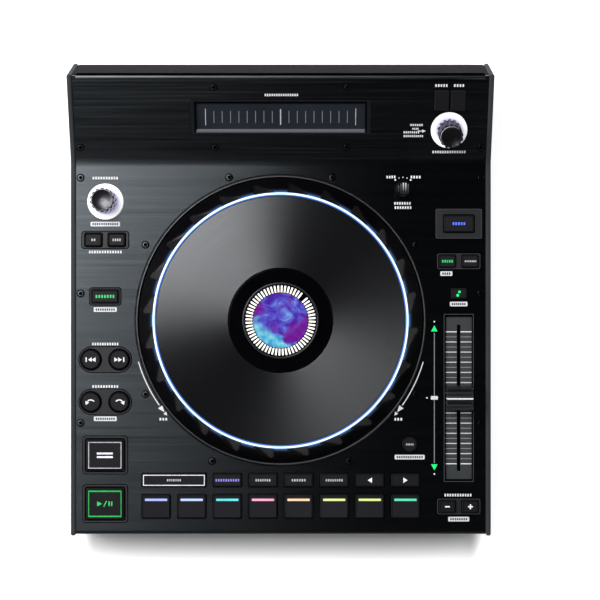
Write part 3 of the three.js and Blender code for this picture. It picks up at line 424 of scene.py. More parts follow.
class Solid:
    """Closed shapes gathered into one mesh."""

    def __init__(self, place):
        self.mesh = bmesh.new()
        self.place = place

    def loft(self, loops, closed=False, slot=0):
        """Joins rings of as many points. Unless the last ring meets the first, both ends are filled.

        The slot is a number, or a function of a face's row and side.
        """
        rings = [[self.mesh.verts.new(self.place @ Vector(point)) for point in loop] for loop in loops]
        pairs = list(zip(rings, rings[1:]))
        if closed:
            pairs.append((rings[-1], rings[0]))
        pick = slot if callable(slot) else lambda row, side: slot
        for row, (lower, upper) in enumerate(pairs):
            for side in range(len(lower)):
                after = (side + 1) % len(lower)
                face = self.mesh.faces.new((lower[side], lower[after], upper[after], upper[side]))
                face.material_index = pick(row, side)
        if not closed:
            self.mesh.faces.new(rings[0][::-1]).material_index = pick(0, 0)
            self.mesh.faces.new(rings[-1]).material_index = pick(len(pairs) - 1, 0)

    def plate(self, outline, bottom, top, slot=0):
        self.loft([at_level(outline, level) for level in (bottom, top)], slot=slot)

    def mark(self, outline, level=0.0):
        """A thin printed plate on a surface."""
        self.plate(outline, level - PRINT_SINK, level + PRINT_RISE)

    def bar(self, width, height, x=0.0, y=0.0, corner=0.0, level=0.0):
        self.mark(rounded(width, height, corner, x, y), level)

    def lathe(self, profile, sides=ROUND_SIDES, x=0.0, y=0.0, closed=False, slot=0):
        """A turned shape that follows a profile of (radius, level) points."""
        loops = [at_level(circle(radius, sides, x, y), level) for radius, level in profile]
        self.loft(loops, closed, slot)

    def ring(self, inner, outer, sides=ROUND_SIDES, x=0.0, y=0.0, level=0.0, slot=0):
        """A thin printed ring on a surface."""
        low = level - PRINT_SINK
        high = level + PRINT_RISE
        self.lathe([(inner, low), (outer, low), (outer, high), (inner, high)], sides, x, y, True, slot)

    def ribbon(self, points, width, level=0.0):
        """A thin printed strip along a line of points."""
        bottom = level - PRINT_SINK
        top = level + PRINT_RISE
        loops = []
        for index, point in enumerate(points):
            before = Vector(points[max(index - 1, 0)])
            after = Vector(points[min(index + 1, len(points) - 1)])
            along = (after - before).normalized()
            half = Vector((-along.y, along.x)) * width / 2
            left = Vector(point) + half
            right = Vector(point) - half
            loops.append([(*left, bottom), (*right, bottom), (*right, top), (*left, top)])
        self.loft(loops)

    def frame(self, outer, inner, bottom=-PRINT_SINK, top=PRINT_RISE, x=0.0, y=0.0, slot=0):
        """A flat rounded frame. Outer and inner are each (width, height, corner)."""
        corners = ((outer, bottom), (outer, top), (inner, top), (inner, bottom))
        self.loft([at_level(rounded(*size, x, y), level) for size, level in corners], True, slot)

    def prism(self, outline, ends, slot=0):
        """An outline of (y, z) points, drawn out between two places on the x axis."""
        self.loft([[(x, *point) for point in outline] for x in ends], slot=slot)

    def piece(self, name, finishes, slot, body="root", replaces=None):
        """Closes the mesh and places it on its body, for the node that it replaces, if any."""
        bmesh.ops.remove_doubles(self.mesh, verts=self.mesh.verts, dist=MERGE)
        bmesh.ops.recalc_face_normals(self.mesh, faces=self.mesh.faces)
        for face in self.mesh.faces:
            face.smooth = True
        data = bpy.data.meshes.new(name)
        self.mesh.to_mesh(data)
        self.mesh.free()
        data.set_sharp_from_angle(angle=SHARP)
        for finish in finishes:
            data.materials.append(FINISHES[finish])
        made = bpy.data.objects.new(name, data)
        bpy.context.scene.collection.objects.link(made)
        made.modifiers.new("normals", "WEIGHTED_NORMAL").keep_sharp = True
        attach(made, body)
        if replaces:
            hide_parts(replaces)

    def stand_in(self, node, finishes, slot):
        """A piece that takes a CAD node's place on its body."""
        self.piece(f"{node}_fine", finishes, slot, BODY_OF[node], node)


BODY_OF = {}
for body_name, members in frame["record"]["behaviour"]["bodies"].items():
    for member in members:
        BODY_OF[member] = body_name


# The jog wheel

PLATTER_SHOULDER = 0.0015
PLATTER_EDGE_WIDTH = 0.0007
PLATTER_EDGE_DROP = 0.0008
PLATTER_SLOPE_RUN = 0.0097
PLATTER_WALL = 0.0028
PLATTER_RECESS = 0.002
PLATTER_WEB = 0.0025
PLATTER_HUB = 0.0123
PLATTER_HUB_WALL = 0.0046
PLATTER_HUB_DROP = 0.0064
PLATTER_STEPS = 14
NOTCH_COUNT = 24
NOTCH_STEPS = 30
NOTCH_DEPTH = 0.0014
NOTCH_TIP_SHARE = 0.28
NOTCH_TIP_TURN = 0.28
NOTCH_START = -0.34
NOTCH_END = 0.34
NOTCH_SOFT = 0.05
HALO_START = 0.0005
HALO_REACH = 0.0035
RING_WIDTH = 0.0022
RING_GAP = 0.0003
DISPLAY_GAP = 0.0006
DISC_EDGE = 0.0002
SCUFF_DEPTH = 0.00005


def platter_black(ring_outer):
    """Glossy black, with the light ring's glow painted beside the ring as light of its own."""
    made = Finish("platter_black", 0.3, specular=0.05)
    scuff = made.noise(320, 5)
    shade = made.tones(made.noise(14, 3), rgb(5, 5, 7), rgb(9, 9, 12))
    made.cover(shade, made.span(scuff, 0.24, 0.36))
    made.bump(scuff, 0.02, SCUFF_DEPTH)
    # Painted glow: the black beside the ring gives off the ring's blue light itself.
    share = made.between(made.from_axis(JOG), ring_outer - HALO_START, ring_outer + HALO_REACH)
    stops = [(0.0, BLACK), (0.11, BLACK), (0.125, rgb(110, 150, 200)), (0.3, rgb(66, 96, 146))]
    stops += [(0.475, rgb(40, 60, 92)), (0.65, rgb(20, 28, 42)), (0.9, BLACK)]
    made.glow(made.ramp(share, stops), 1.0)


def jog_disc_metal():
    """Dark aluminium, spun so that fine grooves run round the axis."""
    made = Finish("jog_disc_metal", 0.34, 1.0)
    along = made.vector(made.from_axis(JOG), 0.0, 0.0)
    groove = made.noise(2600, 3, place=along)
    band = made.shades(made.noise(260, 3, place=along), WHITE, 0.94, 1.05)
    shade = made.times(made.shades(groove, rgb(104, 105, 107), 0.8, 1.2), band)
    tangent = made.node("ShaderNodeTangent", {}, direction_type="RADIAL", axis="Z")
    made.cover(shade, made.span(groove, 0.225, 0.275))
    made.give({"Anisotropic": 0.85, "Anisotropic Rotation": 0.25, "Tangent": tangent.outputs[0]})


def ring_light(outer):
    """The lit ring: a white core between blue edges."""
    made = Finish("ring_light", 0.3)
    across = made.between(made.from_axis(JOG), outer - RING_WIDTH, outer)
    core = rgb(235, 251, 254)
    stops = [(0.0, rgb(52, 68, 104)), (0.2, rgb(38, 78, 172)), (0.42, rgb(92, 148, 218))]
    stops += [(0.58, core), (0.92, core), (1.0, rgb(150, 192, 236))]
    made.lit(made.ramp(across, stops), 1.0)


def notch_growth(share):
    """How wide and deep a cut is at a share of the rim's height, as a share of its most."""
    return (share - NOTCH_TIP_SHARE) / (1 - NOTCH_TIP_SHARE)


def notch_share(turn, share):
    """How far into a leaf-shaped cut a place is.

    The turn is in pitches from the cut's middle. The share runs from the rim's foot to its top.
    """
    if share <= NOTCH_TIP_SHARE:
        return 0.0
    grow = notch_growth(share)
    start = NOTCH_TIP_TURN + (NOTCH_START - NOTCH_TIP_TURN) * grow
    end = NOTCH_TIP_TURN + (NOTCH_END - NOTCH_TIP_TURN) * math.sqrt(grow)
    edge = min(turn - start, end - turn) / NOTCH_SOFT
    return min(max(edge, 0.0), 1.0)


def make_platter():
    low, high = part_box("jog_platter")
    top = high.z - DECK
    bottom = low.z - DECK
    outer = size_of("jog_platter").y / 2
    top_radius = outer - PLATTER_SLOPE_RUN
    web_top = top - PLATTER_RECESS
    web_bottom = web_top - PLATTER_WEB
    edge = top - PLATTER_EDGE_DROP
    ring_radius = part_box("jog_light_ring")[1].x
    rise = edge - PLATTER_SHOULDER
    slope = math.atan2(rise, PLATTER_SLOPE_RUN)
    profile = [(outer - PLATTER_WALL, bottom, None), (outer, bottom, None)]
    for share in shares(PLATTER_STEPS):
        profile.append((outer - share * PLATTER_SLOPE_RUN, PLATTER_SHOULDER + share * rise, share))
    profile += [
        (top_radius - PLATTER_EDGE_WIDTH, top, 1.0),
        (ring_radius + RING_GAP, top, None),
        (ring_radius + RING_GAP, web_top, None),
        (PLATTER_HUB, web_top, None),
        (PLATTER_HUB, web_bottom - PLATTER_HUB_DROP, None),
        (PLATTER_HUB + PLATTER_HUB_WALL, web_bottom - PLATTER_HUB_DROP, None),
        (PLATTER_HUB + PLATTER_HUB_WALL, web_bottom, None),
        (top_radius - PLATTER_WALL, web_bottom, None),
        (outer - PLATTER_WALL, PLATTER_SHOULDER, None),
    ]
    sides = NOTCH_COUNT * NOTCH_STEPS
    turns = [side % NOTCH_STEPS / NOTCH_STEPS - 0.5 for side in range(sides)]
    loops = []
    for radius, level, share in profile:
        loop = []
        for side, angle in enumerate(around(sides)):
            sunk = 0.0
            if share is not None:
                sunk = NOTCH_DEPTH * notch_growth(share) * notch_share(turns[side], share)
            reach = radius - sunk * math.sin(slope)
            loop.append((*polar(reach, angle), level - sunk * math.cos(slope)))
        loops.append(loop)

    def pick(row, side):
        pair = [profile[index][2] for index in (row, (row + 1) % len(profile))]
        if None in pair:
            return 0
        turn = turns[side] + 0.5 / NOTCH_STEPS
        return 1 if notch_share(turn, sum(pair) / 2) > 0.5 else 0

    solid = Solid(JOG_PLACE)
    solid.loft(loops, closed=True, slot=pick)
    platter_black(ring_radius)
    solid.stand_in("jog_platter", ["platter_black", "platter_facet"], "platter_gloss")


def make_jog_ring(node, inner, outer, edge, finish, slot):
    """A flat ring with rounded top edges, in the place of a ring of the jog wheel."""
    low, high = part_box(node)
    bottom = low.z - DECK
    solid = Solid(JOG_PLACE)
    profile = [(inner, bottom), (outer, bottom), *crowned(inner, outer, high.z - DECK, edge)]
    solid.lathe(profile, FINE_SIDES, closed=True)
    solid.stand_in(node, [finish], slot)


def make_jog_top():
    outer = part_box("jog_light_ring")[1].x
    ring_light(outer)
    inner = outer - RING_WIDTH
    make_jog_ring("jog_light_ring", inner, outer, RING_WIDTH / 5, "ring_light", "light_plastic")
    jog_disc_metal()
    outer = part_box("jog_top_disc")[1].x
    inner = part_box("display_unit")[1].x + DISPLAY_GAP
    make_jog_ring("jog_top_disc", inner, outer, DISC_EDGE, "jog_disc_metal", "disc_metal")


# A thin bright lip round the wheel's well, between dark lines, of which the outer one is painted shade

LIP_RADIUS = 0.1006
LIP_WIDTH = 0.0007
LIP_LEVEL = 0.0005
LIP_RISE = 0.0003
LIP_SHADE_INSET = 0.0012
LIP_SHADE_WIDTH = 0.0006
LIP_STEPS = 6


def make_well_lip():
    solid = Solid(JOG_PLACE)
    crown = []
    for share in shares(LIP_STEPS):
        out, rise = polar(1, math.pi * share)
        crown.append((LIP_RADIUS + LIP_WIDTH / 2 * out, LIP_LEVEL - PRINT_SINK + LIP_RISE * rise))
    solid.lathe(crown, FINE_SIDES, closed=True)
    # Painted shade: a dark ring just outside the lip.
    inner = LIP_RADIUS + LIP_SHADE_INSET
    solid.ring(inner, inner + LIP_SHADE_WIDTH, FINE_SIDES, slot=1)
    solid.piece("well_lip", ["well_lip_metal", "display_glass"], "frame_plastic")


# The display in the middle of the wheel

BEZEL_RING_OUTER = 0.0264
BEZEL_RING_WIDTH = 0.0014
BEZEL_RING_RISE = 0.0005
SPIGOT_RADIUS = 0.0077
SPIGOT_LENGTH = 0.005
GLASS_EDGE = 0.0003
ART_RADIUS = 0.0190
TICK_COUNT = 60
TICK_INNER = 0.0195
TICK_OUTER = 0.0242
TICK_WIDTH = 0.0012
TICK_GAP_ANGLE = math.radians(46)
TICK_TURN = math.radians(4)


def display_black():
    made = Finish("display_black", 0.04, specular=0.1)
    shade = made.tones(made.noise(60, 3), rgb(3, 3, 5), rgb(6, 6, 9))
    made.cover(shade, made.span(made.noise(400, 4), 0.02, 0.06))


def display_art():
    """A generic lit picture: drifting clouds of violet and periwinkle, with a pale cyan bank."""
    made = Finish("display_art", 0.12)
    drift = made.node("ShaderNodeMapping", {"Vector": made.place, "Rotation": (0, 0, math.radians(60))})
    values = {"Vector": drift.outputs[0], "Scale": 62.0, "Detail": 5.0, "Distortion": 1.6}
    cloud = made.node("ShaderNodeTexNoise", values).outputs["Fac"]
    stops = [
        (0.30, rgb(66, 20, 128)),
        (0.44, rgb(78, 50, 176)),
        (0.55, rgb(92, 98, 204)),
        (0.66, rgb(120, 160, 222)),
        (0.78, rgb(190, 216, 240)),
    ]
    picture = made.ramp(cloud, stops)
    magenta = made.span(made.noise(48, 3), 0.0, 0.85, 0.52, 0.62)
    picture = made.mix(magenta, picture, (*rgb(116, 14, 140), 1))
    tilt = made.math("ADD", made.math("MULTIPLY", made.along("X"), 0.5), made.along("Y"))
    low = made.span(tilt, 0.22, -0.22, JOG.y - ART_RADIUS, JOG.y + ART_RADIUS / 2)
    values = {"Vector": made.place, "Scale": 34.0, "Detail": 4.0}
    bank = made.node("ShaderNodeTexNoise", values).outputs["Fac"]
    bank = made.between(made.math("ADD", bank, low), 0.58, 0.66)
    flecks = made.tones(made.noise(230, 4), rgb(56, 150, 206), rgb(132, 216, 232), 0.35, 0.65)
    picture = made.mix(bank, picture, flecks)
    made.give({"Base Color": made.mix(0.8, picture, (*BLACK, 1))})
    made.glow(picture, 0.85)


def tick_white():
    made = Finish("tick_white", 0.3)
    made.lit(made.tones(made.noise(500, 2), rgb(236, 232, 222), rgb(252, 250, 244)), 0.75)


def make_display():
    display_black()
    display_art()
    tick_white()
    low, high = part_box("display_unit")
    foot = low.z - DECK
    shelf = foot + SPIGOT_LENGTH
    top = high.z - DECK - BEZEL_RING_RISE
    solid = Solid(JOG_PLACE)
    profile = [(SPIGOT_RADIUS, foot), (SPIGOT_RADIUS, shelf), (high.x, shelf)]
    solid.lathe([*profile, *rounded_edge(high.x, top, GLASS_EDGE)], FINE_SIDES)
    inner = BEZEL_RING_OUTER - BEZEL_RING_WIDTH
    rim = crowned(inner, BEZEL_RING_OUTER, high.z - DECK, BEZEL_RING_RISE)
    solid.lathe(rim, FINE_SIDES, closed=True, slot=1)
    solid.stand_in("display_unit", ["display_black", "display_rim_metal"], "display_glass")

    solid = Solid(JOG_PLACE)
    solid.mark(circle(ART_RADIUS, FINE_SIDES), top)
    solid.piece("display_picture", ["display_art"], "display_glass")

    solid = Solid(JOG_PLACE)
    for angle in around(TICK_COUNT):
        turn = angle + TICK_TURN
        if abs(turn - TICK_GAP_ANGLE) >= math.pi / TICK_COUNT:
            solid.ribbon([polar(radius, turn) for radius in (TICK_INNER, TICK_OUTER)], TICK_WIDTH, top)
    solid.piece("display_ticks", ["tick_white"], "display_glass")


# Encoder knobs, their light rings and the small wheel-adjust knob

FLUTE_COUNT = 14
FLUTE_STEPS = 12
KNOB_BASE = 0.0084
KNOB_TOP = 0.0082
KNOB_FLUTE = 0.001
KNOB_SKIRT = 0.002
KNOB_LIP = 0.00105
KNOB_RIM = 0.0004
KNOB_BAND = 0.55
KNOB_DISH = 0.0016
KNOB_LEVELS = 8
DISH_LEVELS = 8
SHAFT_BORE = 0.0033
SHAFT_BORE_SHARE = 0.66
LIGHT_RING_BORE = 0.0048
LIGHT_RING_EDGE = 0.0003
ADJUST_BASE = 0.0057
ADJUST_TOP = 0.0051
RIB_COUNT = 2
RIB_PITCH = 0.00165
RIB_SHIFT = -0.0006
RIB_WIDTH = 0.0009
RIB_RISE = 0.0006
ADJUST_FLUTE = 0.0007
ADJUST_SHAFT = 0.003
KNOB_LIFT = 0.0014
ADJUST_LIFT = 0.0008
KNOB_SIDES = FLUTE_COUNT * FLUTE_STEPS
AUTO_PLACE = over(centre_of("auto_loop_light_ring"), DECK)
SELECT_PLACE = SLOPE_PLACE @ over(sum(box_in(SLOPE_PLACE, "select_light_ring"), Vector()) / 2, 0)
ADJUST = centre_of("wheel_adjust_knob")
ADJUST_PLACE = over(ADJUST, DECK)
SLOPE_AXIS = SLOPE_PLACE.to_3x3() @ Vector((0, 0, 1))


def knob_side(name, low, high, strength):
    """The side's ridges, with the ring's light painted on them as a glowing reflection."""
    made = Finish(name, 0.5, specular=0.2)
    made.lit(made.tones(made.noise(420, 4), low, high), strength)


def knob_rim(node, dim, bright):
    """The thin rim round the dish, with a glowing painted highlight to the rear left."""
    made = Finish(node + "_rim", 0.4)
    middle = centre_of(node)
    start = middle.y - middle.x
    # Painted highlight: the rim brightens towards the rear left.
    lean = made.math("SUBTRACT", made.along("Y"), made.along("X"))
    away = made.between(lean, start - KNOB_TOP, start + KNOB_TOP)
    made.lit(made.tones(away, dim, bright, 0.2, 0.9), 0.35)
    made.give({"Roughness": made.span(made.noise(1200, 3), 0.34, 0.46)})


def rib_painted_highlight(name, bright, dim):
    """A rib of the adjust knob's top, with a glowing painted highlight at its rear end."""
    made = Finish(name, 0.45, specular=0.2)
    along = made.between(made.along("Y"), ADJUST.y - ADJUST_TOP, ADJUST.y + ADJUST_TOP)
    speck = made.shades(made.noise(1300, 3), WHITE, 0.85, 1.1)
    made.lit(made.times(made.tones(along, dim, bright, 0.3, 0.92), speck), 0.5)


def knob_ring_light(node, axis):
    """A white lit ring that turns a little lavender towards the knob."""
    made = Finish(node + "_light", 0.35)
    fade = made.between(made.from_axis(centre_of(node), axis), KNOB_BASE, size_of(node).x / 2)
    stops = [(0.0, rgb(196, 192, 226)), (0.35, rgb(238, 236, 250)), (0.7, WHITE)]
    made.lit(made.ramp(fade, stops), 0.55)


def flute_reach(angle, base, flute):
    """How far a fluted side reaches at an angle from the middle of a flute, or no limit."""
    across = base * math.sin(angle)
    if abs(across) >= flute:
        return base
    return base * math.cos(angle) - math.sqrt(flute ** 2 - across ** 2)


def flute_offset(side):
    """How many steps a side lies from the middle of its flute."""
    return (side + FLUTE_STEPS // 2) % FLUTE_STEPS - FLUTE_STEPS // 2


def knob_loops(base, top_radius, flute, height, lift):
    foot = lift + KNOB_SKIRT
    profile = [(base, lift)]
    for share in shares(KNOB_LEVELS):
        profile.append((base + (top_radius - base) * share, foot + (height - KNOB_SKIRT) * share))
    loops = []
    for radius, level in profile:
        loop = []
        for side, angle in enumerate(around(KNOB_SIDES)):
            limit = flute_reach(flute_offset(side) / KNOB_SIDES * 2 * math.pi, base, flute)
            loop.append((*polar(min(radius, limit), angle), level))
        loops.append(loop)
    return loops


def dish_loops(radius, level):
    loops = []
    for share in shares(DISH_LEVELS)[:-1]:
        depth = KNOB_DISH * (1 - (1 - share) ** 2)
        loops.append(at_level(circle(radius * (1 - share), KNOB_SIDES), level - depth))
    return loops


def knob_side_slot(row, side):
    """The side carries the painted reflection below its top band, with a dark spot at each hollow's foot."""
    if not 0 < row < 2 + KNOB_LEVELS * KNOB_BAND:
        return 0
    return 3 if row > 2 or abs(flute_offset(side)) > FLUTE_STEPS // 4 else 0


def make_encoder_knob(node, place, finishes):
    """A fluted knob with a bore, a dished top and a thin rim round the dish that carries a painted
    highlight.
    """
    top = box_in(place, node)[1].z
    height = top - KNOB_LIFT
    outer = knob_loops(KNOB_BASE, KNOB_TOP, KNOB_FLUTE, height, KNOB_LIFT)
    ceiling = KNOB_LIFT + height * SHAFT_BORE_SHARE
    bore = [at_level(circle(SHAFT_BORE, KNOB_SIDES), level) for level in (ceiling, KNOB_LIFT)]
    dish_radius = KNOB_TOP - KNOB_LIP
    first_dish_row = 1 + len(outer)

    def pick(row, side):
        return 2 if row > first_dish_row else knob_side_slot(row - 2, side)

    solid = Solid(place)
    solid.loft([*bore, *outer, *dish_loops(dish_radius, top - KNOB_LIP / 4)], slot=pick)
    rim_level = top - KNOB_LIP / 5
    rim = [
        (dish_radius, rim_level - KNOB_RIM),
        (dish_radius + KNOB_RIM, rim_level - KNOB_RIM),
        (dish_radius + KNOB_RIM, rim_level),
        (dish_radius + KNOB_RIM / 2, top),
        (dish_radius, rim_level),
    ]
    solid.lathe(rim, KNOB_SIDES, closed=True, slot=1)
    solid.stand_in(node, finishes, "knob_gloss")


def make_adjust_knob():
    """A small fluted knob with its shaft, and ribs across its top."""
    node = "wheel_adjust_knob"
    low, high = box_in(ADJUST_PLACE, node)
    height = high.z - ADJUST_LIFT
    outer = knob_loops(ADJUST_BASE, ADJUST_TOP, ADJUST_FLUTE, height - RIB_RISE, ADJUST_LIFT)
    shaft = [at_level(circle(ADJUST_SHAFT, KNOB_SIDES), level) for level in (low.z, ADJUST_LIFT)]
    face = high.z - RIB_RISE
    solid = Solid(ADJUST_PLACE)
    solid.loft([*shaft, *outer, at_level(circle(ADJUST_TOP - KNOB_LIP, KNOB_SIDES), face)])
    for index in range(-RIB_COUNT, RIB_COUNT + 1):
        x = index * RIB_PITCH + RIB_SHIFT
        reach = math.sqrt(ADJUST_TOP ** 2 - x ** 2) - KNOB_LIP
        rib = rounded(RIB_WIDTH, 2 * reach, RIB_WIDTH / 3, x)
        # Ribs 0 and 1 carry the strong painted highlight, the others a faint one.
        solid.plate(rib, face - PRINT_SINK, high.z, slot=1 if index in (0, 1) else 2)
    finishes = ["knob_black", "rib_strong_painted_highlight", "rib_faint_painted_highlight"]
    solid.piece("wheel_adjust_fine", finishes, "knob_gloss", BODY_OF[node], node)


def make_light_ring(node, place, axis):
    knob_ring_light(node, axis)
    low, high = box_in(place, node)
    solid = Solid(place)
    edge = rounded_edge(high.x, high.z, LIGHT_RING_EDGE)
    profile = [(LIGHT_RING_BORE, low.z), (high.x, low.z), *edge, (LIGHT_RING_BORE, high.z)]
    solid.lathe(profile, FINE_SIDES // 2, closed=True)
    solid.stand_in(node, [node + "_light"], "light_plastic")


def make_knobs():
    # Painted reflection of the light ring on the knobs' sides: strong on the auto loop knob, faint on the
    # select knob.
    knob_side("knob_side_painted_glow", rgb(128, 126, 154), rgb(186, 184, 212), 0.5)
    knob_side("knob_side_faint_painted_glow", rgb(52, 50, 72), rgb(96, 94, 120), 0.06)
    knob_rim("auto_loop_knob", rgb(112, 112, 116), rgb(206, 206, 212))
    knob_rim("select_knob", rgb(24, 24, 28), rgb(206, 206, 212))
    rib_painted_highlight("rib_strong_painted_highlight", rgb(196, 196, 199), rgb(38, 38, 40))
    rib_painted_highlight("rib_faint_painted_highlight", rgb(84, 84, 86), rgb(34, 34, 36))
    finishes = ["knob_black", "auto_loop_knob_rim", "knob_dish_metal", "knob_side_painted_glow"]
    make_encoder_knob("auto_loop_knob", AUTO_PLACE, finishes)
    finishes = ["knob_black", "select_knob_rim", "knob_dark_dish", "knob_side_faint_painted_glow"]
    make_encoder_knob("select_knob", SELECT_PLACE, finishes)
    make_adjust_knob()
    make_light_ring("auto_loop_light_ring", AUTO_PLACE, (0, 0, 1))
    make_light_ring("select_light_ring", SELECT_PLACE, SLOPE_AXIS)


# The pitch fader: a slate scale in its recess, and a ribbed cap with a white line

FADER_RECESS = (0.0182, 0.1137)
FADER_SLOT = (0.0024, 0.1024)
FADER_FLOOR = 0.0008
SCALE_RISE = 0.0001
FADER_TRAVEL = 0.0924
SCALE_STEPS = 26
SCALE_INNER = 0.0014
SCALE_OUTER = 0.0090
SCALE_LINE = 0.0007
SCALE_FAINT_LINE = 0.0005
CAP_BOTTOM = 0.001
CAP_SHOULDER = 0.0012
CAP_SHOULDER_ROUND = 0.0006
CAP_DIP = 0.0022
CAP_DIP_STEPS = 10
CAP_DIP_POWER = 1.5
CAP_RIDGE = 0.0014
CAP_END_ROUND = 0.0005
CAP_LINE = 0.0010
CAP_LINE_RISE = 0.00008
BLADE = (0.0014, 0.008)
RIM_LINE = 0.0005
CAP_END_SHARES = [(1, 0), (0.3, 0.3), (0, 1)]
SCALE_INKS = {
    "ends": "print_white",
    "lines": "print_bright_grey",
    "faint": "print_line",
    "dim": "print_and_edge_highlight",
}


def cap_outline(length, top):
    """The fader cap's side outline of (y, z) points: a ridge between two finger dips."""
    half = length / 2
    edge = half - CAP_SHOULDER
    start = edge - CAP_SHOULDER_ROUND
    points = [(-half, CAP_BOTTOM), (half, CAP_BOTTOM)]
    points.append((edge + CAP_SHOULDER_ROUND / 3, top - CAP_SHOULDER_ROUND))
    for share in shares(CAP_DIP_STEPS):
        dip = CAP_DIP * math.sin(math.pi * share) ** CAP_DIP_POWER
        points.append((start + (CAP_RIDGE - start) * share, top - dip))
    return points + [(-y, z) for y, z in points[:1:-1]]


def make_fader_cap():
    low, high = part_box("pitch_fader_cap")
    middle = (low + high) / 2
    width = high.x - low.x
    top = high.z - DECK
    place = over(middle, DECK)
    outline = cap_outline(high.y - low.y, top)
    centre_z = (CAP_BOTTOM + top) / 2
    ends = [(-1, *pair) for pair in CAP_END_SHARES] + [(1, *pair) for pair in CAP_END_SHARES[::-1]]
    loops = []
    for side, inward, back in ends:
        x = side * (width / 2 - CAP_END_ROUND * back)
        shrink = 1 - inward * CAP_END_ROUND / (top / 2)
        loops.append([(x, y * shrink, centre_z + (z - centre_z) * shrink) for y, z in outline])
    solid = Solid(place)
    solid.loft(loops)
    solid.plate(rounded(*BLADE, LEAST_CORNER), low.z - DECK, CAP_BOTTOM)
    solid.stand_in("pitch_fader_cap", ["fader_cap_plastic"], "cap_plastic")
    line = Solid(place)
    line.plate(rounded(width, CAP_LINE, LEAST_CORNER), top - CAP_LINE_RISE, top + CAP_LINE_RISE)
    for side in (-1, 1):
        end = rounded(2 * CAP_LINE_RISE, CAP_LINE, 0, side * width / 2)
        line.plate(end, top / 2, top + CAP_LINE_RISE)
    line.piece("pitch_fader_line", ["print_white"], "light_plastic", "pitch_cap")


def make_fader_scale():
    middle = centre_of("fader_plate")
    place = over(middle, DECK - FADER_FLOOR)
    slate = Solid(place)
    outer = inset(*FADER_RECESS, SCALE_RISE / 2)
    slate.frame(outer, (*FADER_SLOT, LEAST_CORNER), top=SCALE_RISE)
    slate.piece("fader_scale", ["fader_slate"], "frame_plastic")
    size = size_of("fader_plate")
    rim = Solid(over(middle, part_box("fader_plate")[1].z))
    inner = inset(size.x, size.y, RIM_LINE)
    rim.frame((size.x, size.y, CORNER_SMALL), inner)
    rim.frame(inner, (*FADER_RECESS, CORNER_SMALL), slot=1)
    rim.piece("fader_rim_lines", ["print_and_edge_highlight", "black_print_and_shade"], "frame_plastic")
    inks = {kind: Solid(place) for kind in SCALE_INKS}
    pitch = FADER_TRAVEL / SCALE_STEPS
    length = SCALE_OUTER - SCALE_INNER
    for side in (-1, 1):
        x = side * (SCALE_OUTER + SCALE_INNER) / 2
        for step in range(SCALE_STEPS + 1):
            y = pitch * step - FADER_TRAVEL / 2
            kind = "ends" if step in (0, SCALE_STEPS) else "faint" if step % 2 else "lines"
            inks[kind].bar(length, SCALE_FAINT_LINE if step % 2 else SCALE_LINE, x, y, level=SCALE_RISE)
            if step < SCALE_STEPS:
                inks["dim"].bar(length, SCALE_FAINT_LINE, x, y + pitch / 2, level=SCALE_RISE)
    for kind, ink in inks.items():
        ink.piece(f"fader_scale_{kind}", [SCALE_INKS[kind]], "light_plastic")


# Printed marks. Words are left as rows of plain blocks.

WORD_HEIGHT = 0.0019
WORD_BLOCK_SHARE = 0.6
WORD_ROOM_SHARE = 0.95
WORD_CORNER_SHARE = 1 / 6
BOX_HEIGHT = 0.0032
BOX_CORNER = BOX_HEIGHT / 5
BOX_WORD_SHARE = 0.5
BOX_WORD_MARGIN = 0.0022
BOX_RISE = 0.00009
ARC_STEPS = 24
LIT_FROM = 0.4


def paint(name, color, strength=0.0, roughness=0.5, specular=0.5):
    """Printed ink, or a lit window where it glows strongly, with small changes in density. A faint glow on
    printed ink is painted light.
    """
    made = Finish(name, roughness, specular=specular)
    fleck = made.noise(700, 3)
    tone = made.shades(fleck, color, 0.88, 1.06)
    made.give({"Base Color": made.shades(fleck, color, 0.3, 1.0) if strength > LIT_FROM else tone})
    if strength:
        made.glow(tone, strength)


# The glow given to the printed inks here is painted light, except for print_grey and print_dim, which light
# the touch strip's lines, and the lit and marker inks, which are lit windows.
paint("print_white", rgb(236, 236, 238), 0.2)
paint("print_grey", rgb(170, 172, 176), 0.3)
paint("print_bright_grey", rgb(186, 188, 192), 0.4)
paint("print_dim", rgb(112, 115, 120), 0.3)
paint("dark_print_and_shade", rgb(30, 30, 34), 0.0, 0.6, 0.1)
paint("black_print_and_shade", rgb(6, 6, 8), 0.0, 0.6, 0.0)
paint("print_pale", rgb(226, 226, 230), 0.2)
paint("print_and_edge_highlight", rgb(68, 69, 73), 0.1, 0.5, 0.1)
paint("bevel_painted_highlight", rgb(92, 94, 98), 0.15, 0.35)
paint("print_line", rgb(128, 130, 133), 0.3)
paint("lit_white", rgb(228, 228, 234), 0.75)
paint("lit_grey", rgb(178, 178, 184), 0.7)
paint("lit_green", rgb(40, 196, 104), 0.75)
paint("frame_green", rgb(34, 168, 76), 0.75)
paint("lit_blue", rgb(84, 112, 250), 0.9)
paint("lit_violet", rgb(128, 124, 206), 0.8)
paint("marker_green", rgb(20, 232, 122), 0.85)


def word(ink, x, y, width, height=WORD_HEIGHT, level=0.0):
    """A row of plain blocks where a word stands."""
    count = max(2, round(width / (height * WORD_ROOM_SHARE)))
    pitch = width / count
    for index in range(count):
        across = x - width / 2 + pitch * (index + 0.5)
        ink.bar(pitch * WORD_BLOCK_SHARE, height, across, y, height * WORD_CORNER_SHARE, level)


def boxed_word(ink, dark, x, y, width):
    ink.bar(width, BOX_HEIGHT, x, y, BOX_CORNER)
    word(dark, x, y, width - BOX_WORD_MARGIN, BOX_HEIGHT * BOX_WORD_SHARE, BOX_RISE)


